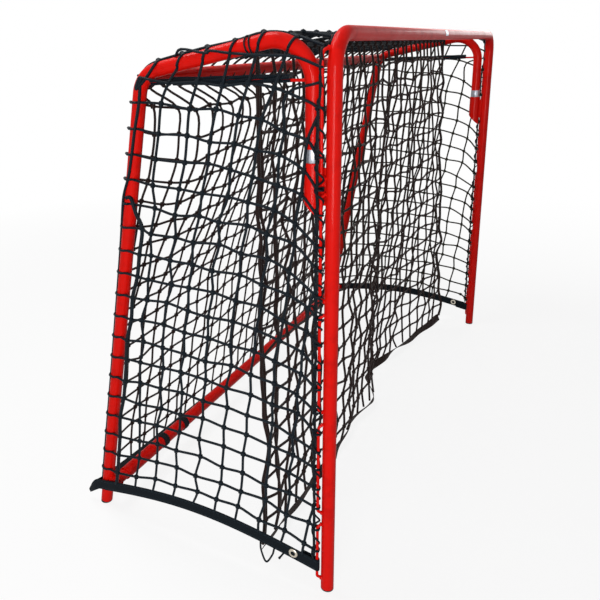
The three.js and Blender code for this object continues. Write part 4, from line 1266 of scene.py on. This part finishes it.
def build_side_hem(name, side):
    """A band from its turn round the rod, along the side and past the rear foot, where its
    narrow tip hangs to the floor."""
    rod_x = POST_X + ROD_OUTWARD
    turn = [(rod_x - 4.8 * math.cos(a), ROD_BEHIND - 4.8 * math.sin(a))
            for a in np.radians((0, 45, 90, 135, 180))]
    course = [(rod_x - 3.4, 58.0), (rod_x - 4.6, 34.0), *turn]
    course += [(SIDE_X, y) for y in (36, 60, 100, 150, 210, 270, 330, 390, 450, 510, 560, 600, 625)]
    points = [(side * x, y, side_hem_z(y)) for x, y in course]
    points += [(side * 832.5, 642, 47), (side * 829, 655, 33), (side * 825, 667, 20)]
    line = smooth_line(points, 5)
    last = len(line) - 1
    widths = np.interp(np.arange(len(line)), (0, last - 15, last), (HEM_WIDTH, HEM_WIDTH, HEM_TIP_WIDTH))
    surface = Surface()
    surface.add_band(line, np.tile((0.0, 0.0, 1.0), (len(line), 1)), widths, HEM_THICKNESS)
    make_piece(f"side_hem_webbing_{name}", surface, HEM_WEBBING, None,
               [f"side_hem_{name}"], 60)


def build_eyelet(name, side):
    profile = ((-1.4, 5.2), (-1.4, 9.8), (-0.9, 10.4), (0.9, 10.4), (1.9, 9.6), (2.5, 8.2), (2.7, 6.6),
               (2.2, 5.4), (1.0, 5.0), (-1.4, 5.2))
    surface = Surface()
    surface.add_turned((side * SIDE_X, EYELET_Y, side_hem_z(EYELET_Y)), (side, 0, 0), profile)
    make_piece(f"hem_eyelet_ring_{name}", surface, NICKEL, "front", [f"hem_eyelet_{name}"])


def build_back_hem():
    """A band that sags behind the base bar, with a narrow tip at each rear foot."""
    xs = np.linspace(-812, 812, 60)
    zs = back_hem_z(xs)
    middle = np.stack([xs, upright_y(zs) + 17.4 + 2.0 * np.sin(xs / 83.0), zs], -1)
    tip = [(825, 664, 25), (822, 648, 44)]
    line = smooth_line([*[(-x, y, z) for x, y, z in tip], *middle, *tip[::-1]], 2)
    last = len(line) - 1
    widths = np.interp(np.arange(len(line)), (0, 5, last - 5, last),
                       (HEM_TIP_WIDTH, HEM_WIDTH, HEM_WIDTH, HEM_TIP_WIDTH))
    surface = Surface()
    surface.add_band(line, np.tile((0.0, -LEAN, 1.0), (len(line), 1)), widths, HEM_THICKNESS)
    make_piece("back_hem_webbing", surface, HEM_WEBBING, "rear", ["back_hem"], 60)


def build_hems():
    for name, side in SIDES:
        build_side_hem(name, side)
        build_eyelet(name, side)
    build_back_hem()


def build_hem_cord():
    """The loop of cord that hangs from the near hem, and its short end beside it."""
    x, front_y, rear_y = -SIDE_X, 118.0, 152.0
    front_z, rear_z, bottom = side_hem_z(front_y) - 14.8, side_hem_z(rear_y) - 14.8, side_hem_z(138.4) - 60.8
    line = smooth_line(np.array([
        (x, rear_y, rear_z), (x, 150.64, 0.55 * rear_z + 0.45 * bottom), (x, 138.4, bottom),
        (x, 123.1, 0.55 * front_z + 0.45 * bottom), (x, front_y, front_z)]), 10)
    surface = Surface()
    surface.add_tube(line, DRAW_CORD_RADIUS, 10)
    loop = make_piece("hem_cord_hanging_loop", surface, LACING, "rear", ["hem_cord_loop"], 70)
    surface = Surface()
    top = side_hem_z(96.0) - 15.4
    surface.add_tube([(x, 96.0, top), (x, 99.5, top - 6), (x, 105.0, top - 15)], DRAW_CORD_RADIUS, 10)
    surface.add_tube([(x, 104.6, top - 14.4), (x, 105.6, top - 16.0)], DRAW_CORD_RADIUS + 0.7, 10)
    end = make_piece("hem_cord_short_end", surface, LACING, "rear", ["hem_cord_end"], 70)


# The catch net.

# Its hem lies on the floor, at these places across the goal and these depths.
CATCH_HEM_X = (-790, -778, -565, -355, -260, -166, -80, 1, 55, 101, 160, 220, 400, 600, 790)
CATCH_HEM_DEPTHS = (170, 169, 160, 154, 160, 169, 160, 152, 176, 212, 221, 225, 190, 152, 118)


def catch_hem_y(x):
    return np.interp(x, CATCH_HEM_X, CATCH_HEM_DEPTHS)


def catch_foot(x):
    """Where a cord of the catch net goes into the hem."""
    return (x, float(catch_hem_y(x)), CATCH_FOOT_Z)


def catch_nodes():
    nodes = np.zeros((CATCH_ROWS, CATCH_COLUMNS, 3))
    for i in range(CATCH_ROWS):
        share = (i + 1) / (CATCH_ROWS + 1)
        for m in range(CATCH_COLUMNS):
            x = -CATCH_KNOTS_HALF + 2 * CATCH_KNOTS_HALF * m / (CATCH_COLUMNS - 1)
            billow = CATCH_BILLOW * share * math.sin(x / 74 + 2 * share)
            ripple = CATCH_RIPPLE * share * math.sin(x / 120 + 1)
            y = CATCH_Y + (catch_hem_y(x) - CATCH_Y) * share ** 1.3 + billow
            z = CATCH_TOP_Z - (CATCH_TOP_Z - CATCH_FOOT_Z - 2) * share + ripple
            nodes[i, m] = (x + CATCH_SWAY * math.sin(x / 60 + 5 * share), y, z)
    return loosened(nodes, CATCH_LOOSE)


def add_rolled_edge(surface, column):
    """The spare edge of the net, rolled up and tied beside a column of the near side."""
    for shift in (0.0, math.pi):
        sway = 6.5 * np.sin(np.arange(len(column)) * 1.9 + shift)
        edge = column + np.outer(sway, (1.0, 0.0, 0.0))
        x, y, z = catch_foot(column[-1, 0])
        add_cord(surface, [*edge, (x + 4, y, z)], SPARE_CORD_RADIUS)


def build_catch_mesh():
    surface = Surface()
    nodes = catch_nodes()
    for row in nodes:
        add_cord(surface, [(-CATCH_HALF, *row[0, 1:]), *row, (CATCH_HALF, *row[-1, 1:])], CATCH_CORD_RADIUS)
    for m in range(CATCH_COLUMNS):
        x = nodes[0, m, 0]
        loop = [(x - 2, CATCH_Y + 6.2, 1148), (x, CATCH_Y, 1155.6), (x + 2, CATCH_Y - 6.2, 1149),
                (x + 1, CATCH_Y - 2, 1141)]
        add_cord(surface, [catch_foot(nodes[-1, m, 0]), *nodes[::-1, m], *loop], CATCH_CORD_RADIUS)
    for x, m in ((-CATCH_HALF, 0), (CATCH_HALF, -1)):
        edge = [(x, y, z) for y, z in nodes[:, m, 1:]]
        add_cord(surface, [(x, CATCH_Y, CATCH_TOP_Z), *edge, catch_foot(x)], CATCH_CORD_RADIUS + 0.5)
    add_rolled_edge(surface, nodes[6:, 1])
    add_knots(surface, nodes)
    return make_piece("catch_net_knotted", surface, INNER_CORD, "catch", ["catch_net"], 70)


def build_catch_hem():
    """The weighted hem, which lies on the floor and rolls this way and that."""
    xs = np.linspace(-788, 788, 90)
    line = np.stack([xs, catch_hem_y(xs) + 2.5 * np.sin(xs / 29.0), 16.5 + 1.5 * np.sin(xs / 47.0)], -1)
    line = smooth_line(line, 2)
    tilt = 0.5 * np.sin(line[:, 0] / 90.0) + 0.25 * np.sin(line[:, 0] / 37.0)
    upward = np.stack([0 * tilt, np.sin(tilt), np.cos(tilt)], -1)
    surface = Surface()
    surface.add_band(line, upward, HEM_WIDTH - 1.5, HEM_THICKNESS)
    return make_piece("catch_hem_webbing", surface, CATCH_WEBBING, "catch", ["catch_hem"], 60)


def build_catch_rope():
    xs = np.linspace(-ROPE_HALF, ROPE_HALF, 60)
    rope_z = side_bar_z(CATCH_Y) - ROPE_SAG * np.cos(math.pi * xs / 2 / ROPE_HALF)
    line = np.stack([xs, np.full(60, CATCH_Y), rope_z], -1)
    surface = Surface()
    surface.add_tube(line, ROPE_RADIUS, 12)
    rope = make_piece("catch_rope_line", surface, LACING, "catch", ["catch_rope"], 70)


def build_catch_knots():
    """Each end of the rope: turns of cord round it, and two loops round the side bar."""
    z, out_y, out_z = bar_top(CATCH_Y)
    winding = np.linspace(0, KNOT_TURNS * 2 * math.pi, 60)
    angle = np.linspace(0, 2 * math.pi, 40)
    reach = REAR_RADIUS + 2.2
    for name, side in SIDES:
        surface = Surface()
        xs = side * (ROPE_KNOT_X + ROPE_KNOT_WIDTH * winding / winding[-1])
        coil = np.stack([xs, CATCH_Y + 4.2 * np.cos(winding), z + 4.2 * np.sin(winding)], -1)
        surface.add_tube(coil, 2.0, 8)
        for shift in (-3.0, 3.0):
            ys = CATCH_Y + shift * (1 - 0.6 * np.cos(angle)) + reach * np.sin(angle) * out_y
            xs = side * (POST_X - reach * np.cos(angle))
            surface.add_tube(np.stack([xs, ys, z + reach * np.sin(angle) * out_z], -1), 1.7, 8, capped=False)
        make_piece(f"catch_knot_tied_{name}", surface, LACING, "rear",
                   [f"catch_knot_{name}"], 70)


# The nets together.


def blend_to_front(piece):
    """The net's front edge is laced to the front frame, and the rest hangs on the rear. This bakes the
    piece's placement into its mesh.
    """
    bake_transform(piece)


def build_nets():
    over, back = top_nodes(), back_nodes()
    left = build_side_net(-1, "left", back[:, 0])
    right = build_side_net(1, "right", back[:, -1])
    back_net = build_back_net(back, over)
    top = build_top_net(over)
    for piece in (left, right, top):
        blend_to_front(piece)
    catch, hem = build_catch_mesh(), build_catch_hem()
    build_catch_rope()
    build_catch_knots()


# The stage, the lights and the camera.


def seen_rays(tree):
    """1 for the rays that see the surroundings themselves: from the camera, in a
    reflection or through something clear. 0 for those that only carry light."""
    rays = add_node(tree, "ShaderNodeLightPath")
    seen = add_node(tree, "ShaderNodeMath", {
        0: rays.outputs["Is Camera Ray"], 1: rays.outputs["Is Glossy Ray"]}, operation="MAXIMUM")
    seen = add_node(tree, "ShaderNodeMath", {
        0: seen.outputs["Value"], 1: rays.outputs["Is Transmission Ray"]}, operation="MAXIMUM")
    return seen.outputs["Value"]


def build_stage():
    """A matt floor. To the camera and in reflections it is white, and it fades into the
    white room away from the goal. The light that it throws back up is that of a grey floor."""
    material, tree, skin = new_material("matt_floor_white")
    seen = seen_rays(tree)
    tone = add_node(tree, "ShaderNodeMix", {
        0: seen, 6: colour("#8c8c8c"), 7: colour("#f6f6f6")}, data_type="RGBA")
    set_inputs(skin, {"Base Color": tone.outputs[2], "Roughness": 0.9, "Specular IOR Level": 0.1})
    spot = add_node(tree, "ShaderNodeTexCoord").outputs["Object"]
    away = add_node(tree, "ShaderNodeVectorMath", {0: spot}, operation="LENGTH")
    # It starts to fade 1.3 m from the middle of the goal, and is plain white at 3.6 m.
    fade = add_node(tree, "ShaderNodeMapRange", {
        "Value": away.outputs["Value"], "From Min": 1.3, "From Max": 3.6, "To Min": 0.86, "To Max": 1.0})
    share = add_node(tree, "ShaderNodeMath", {0: seen, 1: fade.outputs["Result"]}, operation="MULTIPLY")
    glow = add_node(tree, "ShaderNodeEmission", {"Color": (1, 1, 1, 1), "Strength": 1.0})
    mixed = add_node(tree, "ShaderNodeMixShader", {
        0: share.outputs["Value"], 1: skin.outputs[0], 2: glow.outputs[0]})
    tree.links.new(mixed.outputs[0], tree.nodes["Material Output"].inputs["Surface"])
    mesh = bpy.data.meshes.new("floor")
    corners = [(x * FLOOR_REACH, y * FLOOR_REACH, FLOOR_Z) for x, y in ((-1, -1), (1, -1), (1, 1), (-1, 1))]
    mesh.from_pydata(corners, [], [(0, 1, 2, 3)])
    mesh.materials.append(material)
    floor = bpy.data.objects.new("floor", mesh)
    bpy.context.scene.collection.objects.link(floor)


def turn_of(right, up, back):
    """A turn whose axes lie along three directions."""
    return Matrix(np.stack([right, up, back], 1).tolist()).to_4x4()


def build_lamp(name, where, width, height, power):
    lamp = bpy.data.lights.new(name, "AREA")
    lamp.shape = "RECTANGLE"
    lamp.size, lamp.size_y, lamp.energy = width, height, power
    light = bpy.data.objects.new(name, lamp)
    bpy.context.scene.collection.objects.link(light)
    back = unit(np.array(where) - LAMP_AIM)
    right = unit(np.cross((0.0, 0.0, 1.0), back))
    light.matrix_world = Matrix.Translation(where) @ turn_of(right, np.cross(back, right), back)


def build_light():
    """A large soft lamp at the left, one overhead and one at the right, in a dim white room."""
    world = bpy.data.worlds.new("pale_room")
    bpy.context.scene.world = world
    world.use_nodes = True
    tree = world.node_tree
    room = tree.nodes["Background"]
    set_inputs(room, {"Color": (1.0, 1.0, 1.0, 1.0), "Strength": ROOM_STRENGTH})
    white = add_node(tree, "ShaderNodeBackground", {"Color": (1, 1, 1, 1), "Strength": 1.0})
    mixed = add_node(tree, "ShaderNodeMixShader", {
        0: seen_rays(tree), 1: room.outputs[0], 2: white.outputs[0]})
    tree.links.new(mixed.outputs[0], tree.nodes["World Output"].inputs["Surface"])
    for lamp in LAMPS:
        build_lamp(*lamp)


def build_camera():
    data = bpy.data.cameras.new("photo_view")
    camera = bpy.data.objects.new("photo_view", data)
    bpy.context.scene.collection.objects.link(camera)
    yaw, pitch, roll = CAMERA_YAW, CAMERA_PITCH, CAMERA_ROLL
    forward = np.array([math.cos(pitch) * math.sin(yaw), math.cos(pitch) * math.cos(yaw), -math.sin(pitch)])
    level = unit(np.cross(forward, (0.0, 0.0, 1.0)))
    upright = np.cross(level, forward)
    right = level * math.cos(roll) + upright * math.sin(roll)
    up = upright * math.cos(roll) - level * math.sin(roll)
    camera.matrix_world = Matrix.Translation(place(CAMERA_PLACE).tolist()) @ turn_of(right, up, -forward)
    data.sensor_width = SENSOR
    data.lens = FOCAL_PIXELS / FRAME_PIXELS * SENSOR
    data.shift_x = (FRAME_PIXELS / 2 - PRINCIPAL_PIXEL[0]) / FRAME_PIXELS
    data.shift_y = (PRINCIPAL_PIXEL[1] - FRAME_PIXELS / 2) / FRAME_PIXELS
    data.clip_start, data.clip_end = 0.05, 200.0
    bpy.context.scene.camera = camera
    bpy.context.scene.view_settings.view_transform = "Standard"


def build_goal():
    build_hem_cord()
    build_front_frame()
    build_side_frames()
    for name, side in SIDES:
        build_post_rods(name, side)
    build_crossbar_rods()
    build_sockets()
    build_cross_bars()
    build_rails()
    build_plugs()
    build_labels()
    build_ties()
    build_nets()
    build_lacing()
    build_hems()
    for name, _ in SIDES:
        blend_to_front(bpy.data.objects[f"side_hem_webbing_{name}"])


build_camera()
build_stage()
build_light()
build_goal()
